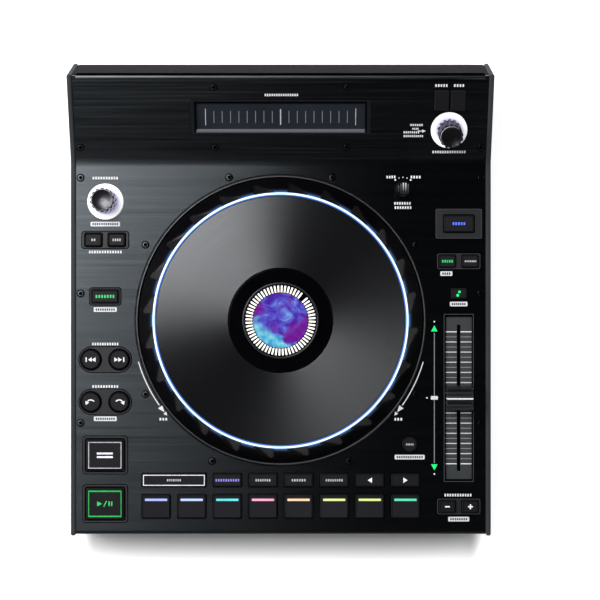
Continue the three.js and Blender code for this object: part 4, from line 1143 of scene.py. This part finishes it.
def triangle(ink, x, y, size, turn=0.0):
    """A triangle of a reach and a half width, whose tip points along an angle."""
    reach, half = size
    along = Vector((math.cos(turn), math.sin(turn)))
    across = Vector((-along.y, along.x))
    middle = Vector((x, y))
    tip = middle + along * reach / 2
    base = middle - along * reach / 2
    ink.mark([tuple(tip), tuple(base + across * half), tuple(base - across * half)])


def arc(radius, start, end, x=0.0, y=0.0):
    return [polar(radius, start + (end - start) * share, x, y) for share in shares(ARC_STEPS)]


# Words and boxed words beside the controls: the nodes that each lies beside, its offset and width
DECK_WORDS = [
    (("auto_loop_light_ring",), 0, 0.0164, 0.0184),
    (("loop_in_button", "loop_out_button"), 0, -0.0084, 0.0236),
    (("skip_back_button", "skip_forward_button"), 0, 0.0109, 0.0190),
    (("jump_back_button", "jump_forward_button"), 0, 0.0108, 0.0188),
    (("wheel_adjust_knob",), -0.0004, -0.0094, 0.0122),
    (("wheel_adjust_knob",), 0, -0.0124, 0.0124),
    (("wheel_adjust_knob",), -0.0084, 0.0090, 0.0070),
    (("wheel_adjust_knob",), 0.0088, 0.0090, 0.0077),
    (("bend_minus_button", "bend_plus_button"), -0.0005, 0.0079, 0.0196),
]
DECK_BOXES = [
    (("auto_loop_light_ring",), 0, -0.0158, 0.0206),
    (("censor_button",), 0, -0.0092, 0.0161),
    (("jump_back_button", "jump_forward_button"), 0, -0.0118, 0.0160),
    (("deck_select_button",), 0, -0.0090, 0.0210),
    (("sync_button",), -0.0006, -0.0086, 0.0084),
    (("key_button",), 0, -0.0074, 0.0123),
    (("bend_minus_button", "bend_plus_button"), 0, -0.0089, 0.0147),
]
# Words on the slope: across from the middle, distance up from the fold, width and height
SLOPE_WORDS = [
    (0.0006, 0.0485, 0.0236, 0.0017),
    (0.1107, 0.0551, 0.0092, 0.0019),
    (0.1228, 0.0551, 0.0078, 0.0019),
    (0.0943, 0.0273, 0.0092, 0.0015),
    (0.0936, 0.0246, 0.0046, 0.0013),
    (0.0908, 0.0221, 0.0114, 0.0015),
    (0.0922, 0.0194, 0.0140, 0.0015),
    (0.1174, 0.0080, 0.0238, 0.0018),
]
SELECT_ARROW = (0.0996, 0.0230)
SELECT_TIP = (0.0026, 0.0012)
SELECT_TAIL = (0.003, 0.0012)
PITCH_LINE_X = 0.01705
PITCH_LINE_HALF = 0.0456
PITCH_LINE = 0.0006
PITCH_TIP = 0.0486
PITCH_DOT = 0.0533
PITCH_DOT_RADIUS = 0.0006
PITCH_DOT_SIDES = 16
PITCH_TIP_SIZE = (0.0042, 0.0023)
PITCH_ZERO = (0.0049, 0.0025)
PITCH_ZERO_DOT = 0.0222
ADJUST_DOT_RADIUS = 0.0088
ADJUST_DOT = 0.0004
ADJUST_END_DOT = 0.00065
ADJUST_DOT_SIDES = 12
ADJUST_DOT_TURN = math.radians(18.75)
ARC_RADIUS = 0.1038
ARC_START = math.radians(196.3)
ARC_END = math.radians(215)
ARC_LINE = 0.0007
ARC_TIPS = [(math.radians(217), (0.0048, 0.0019)), (math.radians(219.3), (0.0026, 0.0013))]
ARC_WORD = (0.0822, 0.0693)
ARC_WORD_WIDTH = 0.0062
DECK_INKS = {
    "deck_words": "print_white",
    "deck_boxes": "print_pale",
    "deck_box_words": "dark_print_and_shade",
    "pitch_range_tips": "marker_green",
    "pitch_range_line": "print_line",
}


def middle_of(nodes):
    return sum((centre_of(node) for node in nodes), Vector()) / len(nodes)


def print_pitch_range(ink, tips, line):
    """A line beside the fader with a tip at each end, and dots at its ends and middle."""
    fader = centre_of("fader_plate")
    x = fader.x - PITCH_LINE_X
    line.bar(PITCH_LINE, 2 * PITCH_LINE_HALF, x, fader.y)
    ink.plate(rounded(*PITCH_ZERO, CORNER_SMALL, x, fader.y), -PRINT_SINK, 2 * PRINT_RISE)
    ink.mark(circle(PITCH_DOT_RADIUS, PITCH_DOT_SIDES, fader.x - PITCH_ZERO_DOT, fader.y))
    for side in (-1, 1):
        triangle(tips, x, fader.y + side * PITCH_TIP, PITCH_TIP_SIZE, side * math.pi / 2)
        ink.mark(circle(PITCH_DOT_RADIUS, PITCH_DOT_SIDES, x, fader.y + side * PITCH_DOT))


def print_jog_arrows(ink):
    """A curved arrow with a word on each side of the wheel."""
    for side in (-1, 1):
        curve = [(JOG.x - side * x, JOG.y + y) for x, y in arc(ARC_RADIUS, ARC_START, ARC_END)]
        ink.ribbon(curve, ARC_LINE)
        for turn, size in ARC_TIPS:
            x, y = polar(ARC_RADIUS, turn)
            heading = turn + math.pi / 2
            triangle(ink, JOG.x - side * x, JOG.y + y, size, heading if side < 0 else math.pi - heading)
        word(ink, JOG.x + side * ARC_WORD[0], JOG.y - ARC_WORD[1], ARC_WORD_WIDTH)


def make_deck_print():
    inks = {name: Solid(DECK_PLACE) for name in DECK_INKS}
    white = inks["deck_words"]
    for nodes, aside, ahead, width in DECK_WORDS:
        spot = middle_of(nodes)
        word(white, spot.x + aside, spot.y + ahead, width)
    for nodes, aside, ahead, width in DECK_BOXES:
        spot = middle_of(nodes)
        boxed_word(inks["deck_boxes"], inks["deck_box_words"], spot.x + aside, spot.y + ahead, width)
    for turn in range(-2, 3):
        spot = polar(ADJUST_DOT_RADIUS, math.pi / 2 + turn * ADJUST_DOT_TURN, ADJUST.x, ADJUST.y)
        radius = ADJUST_END_DOT if abs(turn) == 2 else ADJUST_DOT
        white.mark(circle(radius, ADJUST_DOT_SIDES, *spot))
    print_pitch_range(white, inks["pitch_range_tips"], inks["pitch_range_line"])
    print_jog_arrows(white)
    for name, ink in inks.items():
        slot = "frame_plastic" if name == "deck_box_words" else "light_plastic"
        ink.piece(name, [DECK_INKS[name]], slot)


def make_slope_print():
    white = Solid(SLOPE_PLACE)
    for row in SLOPE_WORDS:
        word(white, *row)
    triangle(white, *SELECT_ARROW, SELECT_TIP)
    word(white, SELECT_ARROW[0] - SELECT_TAIL[0], SELECT_ARROW[1], *SELECT_TAIL)
    white.piece("slope_words", ["print_white"], "light_plastic")


# Marks on the buttons

LED_WIDTH = 0.0156
LED_HEIGHT = 0.0016
LED_OFFSET = 0.0048
LED_RISE = 0.0001
PAD_LIGHTS = [
    rgb(176, 186, 250),
    rgb(190, 210, 255),
    rgb(100, 226, 226),
    rgb(255, 170, 205),
    rgb(250, 215, 170),
    rgb(226, 240, 152),
    rgb(222, 240, 146),
    rgb(90, 226, 172),
]
CUE_BEVEL = 0.0014
CUE_FRAME = 0.0006
PLAY_FRAME = 0.0010
CUE_MARK = (0.0112, 0.0013)
CUE_MARK_GAP = 0.0012
SHIFT_FRAME = 0.00055
SYMBOL_HALF = 0.0016
SYMBOL_BAR = 0.0009
PLAY_TIP = -0.0036
PLAY_TIP_SIZE = (0.0036, 0.0018)
PLAY_SLASH = [(-0.0008, -0.0020), (0.0012, 0.0020)]
PLAY_SLASH_LINE = 0.0007
PLAY_BARS = (0.0030, 0.0048)
SKIP_BAR = 0.0032
SKIP_TIPS = (-0.0021, 0.0006)
SKIP_TIP_REACH = 0.0026
JUMP_ARC = (0.0031, math.radians(25), math.radians(140), 0.0, -0.0016)
JUMP_LINE = 0.0008
JUMP_TIP = (0.0029, -0.0009)
JUMP_TIP_SIZE = (0.0024, 0.0015)
JUMP_TIP_TURN = math.radians(-70)
PAGE_TIP_SIZE = (0.0030, 0.0019)
SIGN_HALF = 0.0017
SIGN_BAR = 0.0009
KEY_DOT_SIDES = 20
KEY_DOTS = [(0.0009, (0.0004, 0.0011)), (0.0010, (-0.0008, -0.0013))]
EDGE_LINE = 0.0003
CAP_BEVEL = 0.0005
SKIP_BUTTONS = (("skip_back_button", -1), ("skip_forward_button", 1))
JUMP_BUTTONS = (("jump_back_button", -1), ("jump_forward_button", 1))
ROUND_CAPS = [node for node, side in SKIP_BUTTONS + JUMP_BUTTONS] + ["deck_select_button"]


def cap_face(node):
    """The width, height, middle and top of a cap that stands in the deck."""
    low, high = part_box(node)
    size = high - low
    middle = (low + high) / 2
    return size.x - 2 * FLANGE_REACH, size.y - 2 * FLANGE_REACH, middle, high.z


def cap_ink(node):
    width, height, middle, top = cap_face(node)
    return Solid(over(middle, top))


def edge_line(ink, node):
    """A line of painted shade along the border of a cap's top, next to the gap round the cap."""
    width, height, middle, top = cap_face(node)
    if node in ROUND_CAPS:
        outer = width / 2 - CAP_BEVEL
        ink.ring(outer - EDGE_LINE, outer, slot=1)
        return
    bevel = CUE_BEVEL if node in ("cue_button", "play_button") else CAP_BEVEL
    outer = inset(width, height, bevel)
    ink.frame(outer, inset(*outer[:2], EDGE_LINE), slot=1)


def finish_mark(ink, node, finish, tag="mark"):
    if tag != "frame":
        edge_line(ink, node)
    ink.piece(f"{node}_{tag}", [finish, "black_print_and_shade"], "light_plastic", BODY_OF[node])


def pad_light(name, color):
    """A lit bar, a little uneven."""
    made = Finish(name, 0.35)
    across = made.noise(120, 2)
    made.give({"Base Color": made.shades(across, color, 0.3, 0.4, 0.25, 0.75)})
    made.glow(made.shades(across, color, 0.86, 1.0, 0.25, 0.75), 0.95)


def make_pad_lights():
    for index, color in enumerate(PAD_LIGHTS, start=1):
        pad_light(f"pad_light_{index}", color)
        ink = cap_ink(f"pad_{index}")
        ink.plate(rounded(LED_WIDTH, LED_HEIGHT, LED_HEIGHT / 4, 0, LED_OFFSET), -PRINT_SINK, LED_RISE)
        finish_mark(ink, f"pad_{index}", f"pad_light_{index}", "light")


def frame_mark(node, finish, bevel, line, side_line):
    width, height, middle, top = cap_face(node)
    outer = inset(width, height, bevel + EDGE_LINE)
    inner = (outer[0] - 2 * side_line, outer[1] - 2 * line, CORNER_SMALL / 2)
    ink = cap_ink(node)
    ink.frame(outer, inner)
    finish_mark(ink, node, finish, "frame")


def make_cue_marks():
    frame_mark("cue_button", "lit_grey", CUE_BEVEL, CUE_FRAME, CUE_FRAME)
    frame_mark("play_button", "frame_green", CUE_BEVEL, PLAY_FRAME, CUE_FRAME)
    frame_mark("shift_button", "lit_white", CAP_BEVEL, SHIFT_FRAME, SHIFT_FRAME)
    ink = cap_ink("cue_button")
    for side in (-1, 1):
        ink.bar(*CUE_MARK, 0, side * (CUE_MARK[1] + CUE_MARK_GAP) / 2, CORNER_SMALL)
    finish_mark(ink, "cue_button", "lit_white")
    ink = cap_ink("play_button")
    triangle(ink, PLAY_TIP, 0, PLAY_TIP_SIZE)
    ink.ribbon(PLAY_SLASH, PLAY_SLASH_LINE)
    for x in PLAY_BARS:
        ink.bar(SYMBOL_BAR, 2 * SYMBOL_HALF, x)
    finish_mark(ink, "play_button", "lit_green")


def make_skip_marks():
    for node, side in SKIP_BUTTONS:
        ink = cap_ink(node)
        ink.bar(SYMBOL_BAR, 2 * SYMBOL_HALF, side * SKIP_BAR)
        for x in SKIP_TIPS:
            triangle(ink, side * x, 0, (SKIP_TIP_REACH, SYMBOL_HALF), 0.0 if side > 0 else math.pi)
        finish_mark(ink, node, "lit_white")
    for node, side in JUMP_BUTTONS:
        ink = cap_ink(node)
        ink.ribbon([(side * x, y) for x, y in arc(*JUMP_ARC)], JUMP_LINE)
        turn = JUMP_TIP_TURN if side > 0 else math.pi - JUMP_TIP_TURN
        triangle(ink, side * JUMP_TIP[0], JUMP_TIP[1], JUMP_TIP_SIZE, turn)
        finish_mark(ink, node, "lit_white")


# Plain rows of blocks on caps: the node, colour, width and height
CAP_WORDS = [
    ("loop_in_button", "lit_grey", 0.0034, 0.0017),
    ("loop_out_button", "lit_grey", 0.0062, 0.0018),
    ("censor_button", "lit_green", 0.0138, 0.0022),
    ("vinyl_button", "lit_blue", 0.0094, 0.0020),
    ("sync_button", "lit_green", 0.0082, 0.0019),
    ("key_lock_button", "lit_grey", 0.0084, 0.0013),
    ("deck_select_button", "lit_grey", 0.0056, 0.0013),
    ("shift_button", "lit_grey", 0.0102, 0.0016),
    ("mode_button_1", "lit_violet", 0.0172, 0.0019),
    ("mode_button_2", "lit_grey", 0.0110, 0.0017),
    ("mode_button_3", "lit_grey", 0.0104, 0.0017),
    ("mode_button_4", "lit_grey", 0.0124, 0.0017),
]


def make_cap_words():
    for node, color, width, height in CAP_WORDS:
        ink = cap_ink(node)
        word(ink, 0, 0, width, height)
        finish_mark(ink, node, color)
    for node, turn in (("page_left_button", math.pi), ("page_right_button", 0.0)):
        ink = cap_ink(node)
        triangle(ink, 0, 0, PAGE_TIP_SIZE, turn)
        finish_mark(ink, node, "lit_white")
    for node in ("bend_minus_button", "bend_plus_button"):
        ink = cap_ink(node)
        ink.bar(2 * SIGN_HALF, SIGN_BAR)
        for side in (-1, 1) if node == "bend_plus_button" else ():
            middle = side * (SIGN_HALF + SIGN_BAR / 2) / 2
            ink.bar(SIGN_BAR, SIGN_HALF - SIGN_BAR / 2, 0, middle)
        finish_mark(ink, node, "lit_white")
    ink = cap_ink("key_button")
    for radius, spot in KEY_DOTS:
        ink.mark(circle(radius, KEY_DOT_SIDES, *spot))
    finish_mark(ink, "key_button", "marker_green")


# The touch strip: faint lit lines under its window, and a taller one at each end and in the middle

STRIP_FLOOR = 0.0006
STRIP_WINDOW = (0.117, 0.0198)
STRIP_STEP = 0.00578
STRIP_COUNT = 9
STRIP_LINE = 0.0005
STRIP_SHORT = 0.0085
STRIP_TALL = 0.0118
STRIP_BLOCK = (0.0008, 0.0112)
STRIP_BORDER = (0.1195, 0.0222)
STRIP_BEVEL = 0.0013
STRIP_BEVEL_LIP = 0.0009
STRIP_EDGE_LINE = 0.0006


def make_strip_marks():
    low, high = box_in(SLOPE_PLACE, "touch_strip")
    middle = (low + high) / 2
    place = SLOPE_PLACE @ over(middle, -STRIP_FLOOR)
    width, height = STRIP_WINDOW
    window = Solid(place)
    window.plate(rounded(*inset(width, height, SCALE_RISE / 2)), -PRINT_SINK, SCALE_RISE)
    window.piece("touch_strip_window", ["strip_glass"], "strip_plastic")
    lines = Solid(place)
    ends = Solid(place)
    for step in range(-STRIP_COUNT, STRIP_COUNT + 1):
        if abs(step) == STRIP_COUNT:
            ends.bar(STRIP_LINE, STRIP_TALL, step * STRIP_STEP, level=SCALE_RISE)
        elif step:
            lines.bar(STRIP_LINE, STRIP_SHORT, step * STRIP_STEP, level=SCALE_RISE)
    lines.piece("touch_strip_lines", ["print_dim"], "light_plastic")
    ends.bar(*STRIP_BLOCK, corner=CORNER_SMALL, level=SCALE_RISE)
    ends.piece("touch_strip_ends", ["print_grey"], "light_plastic")
    trim = Solid(place)
    rim = high.z + STRIP_FLOOR
    trim.frame((*STRIP_BORDER, CORNER_SMALL), (*STRIP_WINDOW, CORNER_SMALL), top=rim + PRINT_RISE)
    edge = (high.x - low.x, high.y - low.y, CORNER_SMALL)
    inner = inset(*edge[:2], STRIP_EDGE_LINE)
    trim.frame(edge, inner, rim - PRINT_SINK, rim + PRINT_RISE, slot=1)
    front = -height / 2
    crest = rim + 2 * PRINT_RISE
    wedge = [
        (front + STRIP_BEVEL, SCALE_RISE),
        (front, crest),
        (front - STRIP_BEVEL_LIP, crest),
        (front - STRIP_BEVEL_LIP, rim - PRINT_SINK),
        (front - PRINT_SINK, rim - PRINT_SINK),
        (front - PRINT_SINK, -PRINT_SINK),
        (front + STRIP_BEVEL, -PRINT_SINK),
    ]
    reach = width / 2 + SCALE_RISE
    # The front bevel carries a glowing painted highlight.
    trim.prism(wedge, (-reach, reach), slot=2)
    trim.piece("touch_strip_trim", ["black_print_and_shade", "dark_print_and_shade", "bevel_painted_highlight"], "strip_plastic")


# Painted shade in the gaps round the caps

GAP_CLEAR = 0.00012
GAP_CORNER = 0.0008
DECK_GAP = 0.00045
BEZEL_LINE = 0.0004
BEZEL_SHADE = 0.0005
DECK_CAPS = (
    *(f"pad_{index}" for index in range(1, 9)), *(f"mode_button_{index}" for index in range(1, 5)),
    "shift_button", "page_left_button", "page_right_button", "key_button", "deck_select_button",
)
# The caps in a bezel, how far it reaches past them at the side and end, its corner and rise, and
# how wide the painted shade in its gap is
BEZELS = [
    (("cue_button",), 0.0021, 0.0020, 0.0020, 0.0007, 0.0008),
    (("play_button",), 0.0021, 0.0020, 0.0020, 0.0007, 0.0008),
    (("jump_back_button", "jump_forward_button"), 0.0015, 0.00195, 0.0100, 0.0007, 0.0009),
    (("skip_back_button", "skip_forward_button"), 0.0015, 0.00195, 0.0100, 0.0007, 0.0009),
    (("censor_button",), 0.0016, 0.00145, 0.0018, 0.0007, 0.0010),
    (("loop_in_button", "loop_out_button"), 0.00235, 0.00145, 0.0018, 0.0007, 0.0008),
    (("vinyl_button",), 0.0058, 0.0045, 0.0008, 0.0011, 0.0006),
    (("sync_button", "key_lock_button"), 0.0014, 0.0011, 0.0014, 0.0007, 0.0005),
    (("bend_minus_button", "bend_plus_button"), 0.0014, 0.0011, 0.0014, 0.0007, 0.0005),
]


def grown(size, by):
    return (size[0] + 2 * by, size[1] + 2 * by, max(size[2] + by, GAP_CORNER / 4))


def cap_gap(solid, node, level, gap, slot=0):
    width, height, middle, top = cap_face(node)
    if node in ROUND_CAPS:
        inner = width / 2 + GAP_CLEAR
        solid.ring(inner, inner + gap, ROUND_SIDES, middle.x, middle.y, level)
        return
    hole = grown((width, height, GAP_CORNER - GAP_CLEAR), GAP_CLEAR)
    bottom = level - PRINT_SINK
    solid.frame(grown(hole, gap), hole, bottom, level + PRINT_RISE, middle.x, middle.y, slot)


def make_gaps():
    """Painted shade round each cap, clear of its path, and round each bezel a thin painted highlight along
    its edge and painted shade outside it.
    """
    solid = Solid(DECK_PLACE)
    # Painted shade in the gap round each cap.
    for node in DECK_CAPS:
        cap_gap(solid, node, 0.0, DECK_GAP)
    for nodes, side, end, corner, proud, gap in BEZELS:
        for node in nodes:
            cap_gap(solid, node, proud, gap, 2 if node == "censor_button" else 0)
        width, height, first, top = cap_face(nodes[0])
        last = cap_face(nodes[-1])[2]
        middle = (first + last) / 2
        height += 2 * end
        size = (abs(first.x - last.x) + width + 2 * side, height, min(corner, height / 2))
        # A thin painted highlight along the bezel's edge.
        line = grown(size, -GAP_CLEAR)
        low = proud - PRINT_SINK
        solid.frame(line, grown(line, -BEZEL_LINE), low, proud + PRINT_RISE, middle.x, middle.y, 1)
        # Painted shade just outside the bezel.
        shade = grown(size, GAP_CLEAR)
        solid.frame(grown(shade, BEZEL_SHADE), shade, x=middle.x, y=middle.y)
    solid.piece("cap_gaps", ["black_print_and_shade", "print_and_edge_highlight", "dark_print_and_shade"], "frame_plastic")


# Countersunk screws with hexagon sockets

SCREW_OUTER = 0.0028
SCREW_HEAD = 0.0021
SCREW_RISE = 0.00022
SCREW_SOCKET = 0.0012
SCREW_SINK = 0.0001
SCREW_SIDES = 36
SCREW_EDGE_SIDES = 32
SCREW_SOCKET_SIDES = 24
DECK_SCREWS = [
    (0.1401, 0.0843),
    (0.0361, 0.0845),
    (0.0947, 0.0374),
    (0.1401, 0.0033),
    (0.0947, -0.0673),
    (0.1401, -0.0873),
    (0.0480, -0.1140),
]
SLOPE_SCREWS = [(0.0460, 0.0539), (0.0459, 0.0113), (0.1397, 0.0112)]


def screw(solid, x, y):
    """A ring of painted shade where the countersink lies, a steel head with a rounded edge and a six-sided
    socket with painted shade on its floor.
    """
    # Painted shade where the countersink lies.
    solid.ring(SCREW_HEAD, SCREW_OUTER, SCREW_EDGE_SIDES, x, y, slot=1)
    head = [(SCREW_HEAD, -PRINT_SINK), *rounded_edge(SCREW_HEAD, SCREW_RISE, SCREW_RISE / 2)]
    loops = [at_level(circle(radius, SCREW_SIDES, x, y), level) for radius, level in head]
    for level in (SCREW_RISE, SCREW_SINK):
        corners = []
        for angle in around(SCREW_SIDES):
            edge = angle % (math.pi / 3) - math.pi / 6
            corners.append(polar(SCREW_SOCKET * math.cos(math.pi / 6) / math.cos(edge), angle, x, y))
        loops.append(at_level(corners, level))
    solid.loft(loops)
    # Painted shade on the socket's floor.
    floor = circle(SCREW_SOCKET, SCREW_SOCKET_SIDES, x, y)
    solid.plate(floor, SCREW_SINK - PRINT_SINK, SCREW_RISE + PRINT_RISE, slot=1)


def make_screws(name, place, spots):
    solid = Solid(place)
    for x, y in spots:
        for side in (-1, 1):
            screw(solid, side * x, y)
    solid.piece(name, ["screw_steel", "black_print_and_shade"], "steel")


# A bright rounded bead along the rear edge of the slope, and a strip of painted shade for the groove along
# the rear plate

BEAD_WIDTH = 0.0025
BEAD_RISE = 0.0006
BEAD_CREST_SHARE = 0.35
BEAD_STEPS = 10
GROOVE_WIDTH = 0.0085


def make_rear_edge():
    """The bead has its long side to the rear."""
    solid = Solid(SLOPE_PLACE)
    half = SIDE_X - BEAD_WIDTH
    start = SLOPE_LENGTH - BEAD_WIDTH
    rear = start + BEAD_WIDTH
    outline = [(rear, -PRINT_SINK), (start, -PRINT_SINK)]
    for share in shares(BEAD_STEPS):
        if share < BEAD_CREST_SHARE:
            rise = math.sin(share / BEAD_CREST_SHARE * math.pi / 2)
        else:
            rise = math.cos((share - BEAD_CREST_SHARE) / (1 - BEAD_CREST_SHARE) * math.pi / 2)
        outline.append((start + BEAD_WIDTH * share, BEAD_RISE * rise))
    solid.prism(outline, (-half, half))
    # Painted shade: a black strip on the rear plate where the groove lies.
    inside = rear - PRINT_SINK
    outside = rear + PRINT_RISE
    groove = [(inside, 0.0), (inside, -GROOVE_WIDTH), (outside, -GROOVE_WIDTH), (outside, 0.0)]
    solid.prism(groove, (-half, half), slot=1)
    solid.piece("rear_edge_bead", ["bead_metal", "black_print_and_shade"], "deck_metal")


make_platter()
make_jog_top()
make_well_lip()
make_display()
make_knobs()
make_fader_cap()
make_fader_scale()
make_deck_print()
make_slope_print()
make_pad_lights()
make_cue_marks()
make_skip_marks()
make_cap_words()
make_strip_marks()
make_screws("deck_screws", DECK_PLACE, DECK_SCREWS)
make_screws("slope_screws", SLOPE_PLACE, SLOPE_SCREWS)
make_rear_edge()
make_gaps()


# Stage: a pale sweep, soft lamps and the camera

FLOOR_RADIUS = 5.0
SWEEP_RADIUS = 0.8
SWEEP_HEIGHT = 1.1
SWEEP_STEPS = 12
SWEEP_SIDES = 96
SHADE_FRONT = 0.030
SHADE_SIDE = 0.006
SHADE_END = 0.010
SHADE_END_REACH = 0.0098
FLOOR_GLOW = 0.85
FLOOR_SHADED_GLOW = 0.02


def floor_paper():
    """White paper. It glows for the camera and in reflections, but hardly in a band round the part: painted
    contact shade that adds to the lamps' shadow.
    """
    made = Finish("floor_paper", 0.9, specular=0.0)
    low, high = cad_box
    edges = [
        ("X", high[0] - SHADE_END, SHADE_END_REACH),
        ("X", low[0] + SHADE_END, -SHADE_END_REACH),
        ("Y", high[1], SHADE_SIDE),
        ("Y", low[1], -SHADE_FRONT),
    ]
    total = None
    for axis, edge, reach in edges:
        away = made.between(made.along(axis), edge, edge + reach)
        square = made.math("MULTIPLY", away, away)
        total = square if total is None else made.math("ADD", total, square)
    # Painted shade: the glow falls away near the part, most in front of it.
    glow = made.span(made.math("MINIMUM", total, 1.0), FLOOR_SHADED_GLOW, FLOOR_GLOW)
    path = made.node("ShaderNodeLightPath", {}).outputs
    seen = made.math("MAXIMUM", path["Is Camera Ray"], path["Is Glossy Ray"])
    seen = made.math("MAXIMUM", seen, path["Is Transmission Ray"])
    made.give({"Base Color": made.tones(made.noise(40, 4), rgb(238, 238, 238), rgb(243, 243, 243))})
    made.glow((*WHITE, 1), made.math("MULTIPLY", seen, glow))


def make_floor():
    floor_paper()
    start = FLOOR_RADIUS - SWEEP_RADIUS
    profile = []
    for share in shares(SWEEP_STEPS):
        angle = share * math.pi / 2
        profile.append((start + SWEEP_RADIUS * math.sin(angle), SWEEP_RADIUS * (1 - math.cos(angle))))
    profile.append((FLOOR_RADIUS, SWEEP_HEIGHT))
    mesh = bmesh.new()
    rings = []
    for radius, level in profile:
        rings.append([mesh.verts.new((*point, level)) for point in circle(radius, SWEEP_SIDES)])
    mesh.faces.new(rings[0])
    for lower, upper in zip(rings, rings[1:]):
        for side in range(SWEEP_SIDES):
            after = (side + 1) % SWEEP_SIDES
            mesh.faces.new((lower[side], lower[after], upper[after], upper[side]))
    data = bpy.data.meshes.new("floor")
    mesh.to_mesh(data)
    mesh.free()
    floor = bpy.data.objects.new("floor", data)
    bpy.context.scene.collection.objects.link(floor)
    data.materials.append(FINISHES["floor_paper"])


# Lamps: the name, place above the deck's middle, width, height, turn in degrees and power
LAMPS = [
    ("key", (-0.62, 0.53, 1.30), 0.90, 1.08, -5.0, 20.8),
    ("left_fill", (-1.48, 0.26, 0.80), 1.0, 0.6, 0.0, 11.0),
    ("right_fill", (1.45, 0.39, 0.80), 1.0, 0.6, 0.0, 5.0),
    ("front_fill", (0.25, -1.15, 1.15), 2.4, 0.7, 0.0, 0.75),
]
WORLD_COLOR = (0.03, 0.03, 0.033, 1)


def make_lights():
    """Soft rectangular lamps that point at the deck's middle, in a dim room."""
    for name, place, width, height, turn, power in LAMPS:
        data = bpy.data.lights.new(name, "AREA")
        data.shape = "RECTANGLE"
        data.size = width
        data.size_y = height
        data.energy = power
        made = bpy.data.objects.new(name, data)
        bpy.context.scene.collection.objects.link(made)
        made.location = Vector(place) + Vector((0, 0, DECK))
        turned = Quaternion((0, 0, 1), math.radians(turn))
        made.rotation_euler = (Vector(place).to_track_quat("Z", "Y") @ turned).to_euler()
        made.visible_camera = False
    world = bpy.data.worlds.new("studio")
    bpy.context.scene.world = world
    world.use_nodes = True
    world.node_tree.nodes["Background"].inputs["Color"].default_value = WORLD_COLOR
    world.node_tree.nodes["Background"].inputs["Strength"].default_value = 1.0


CAMERA_PLACE = Vector((0.01344, -0.00129, 1.15))
CAMERA_LENS = 94.3
CAMERA_SENSOR = 36


def make_camera():
    data = bpy.data.cameras.new("camera")
    data.lens = CAMERA_LENS
    data.sensor_width = CAMERA_SENSOR
    data.sensor_fit = "HORIZONTAL"
    camera = bpy.data.objects.new("camera", data)
    bpy.context.scene.collection.objects.link(camera)
    camera.location = CAMERA_PLACE
    bpy.context.scene.camera = camera


make_floor()
make_lights()
make_camera()
bpy.context.scene.view_settings.view_transform = "Standard"
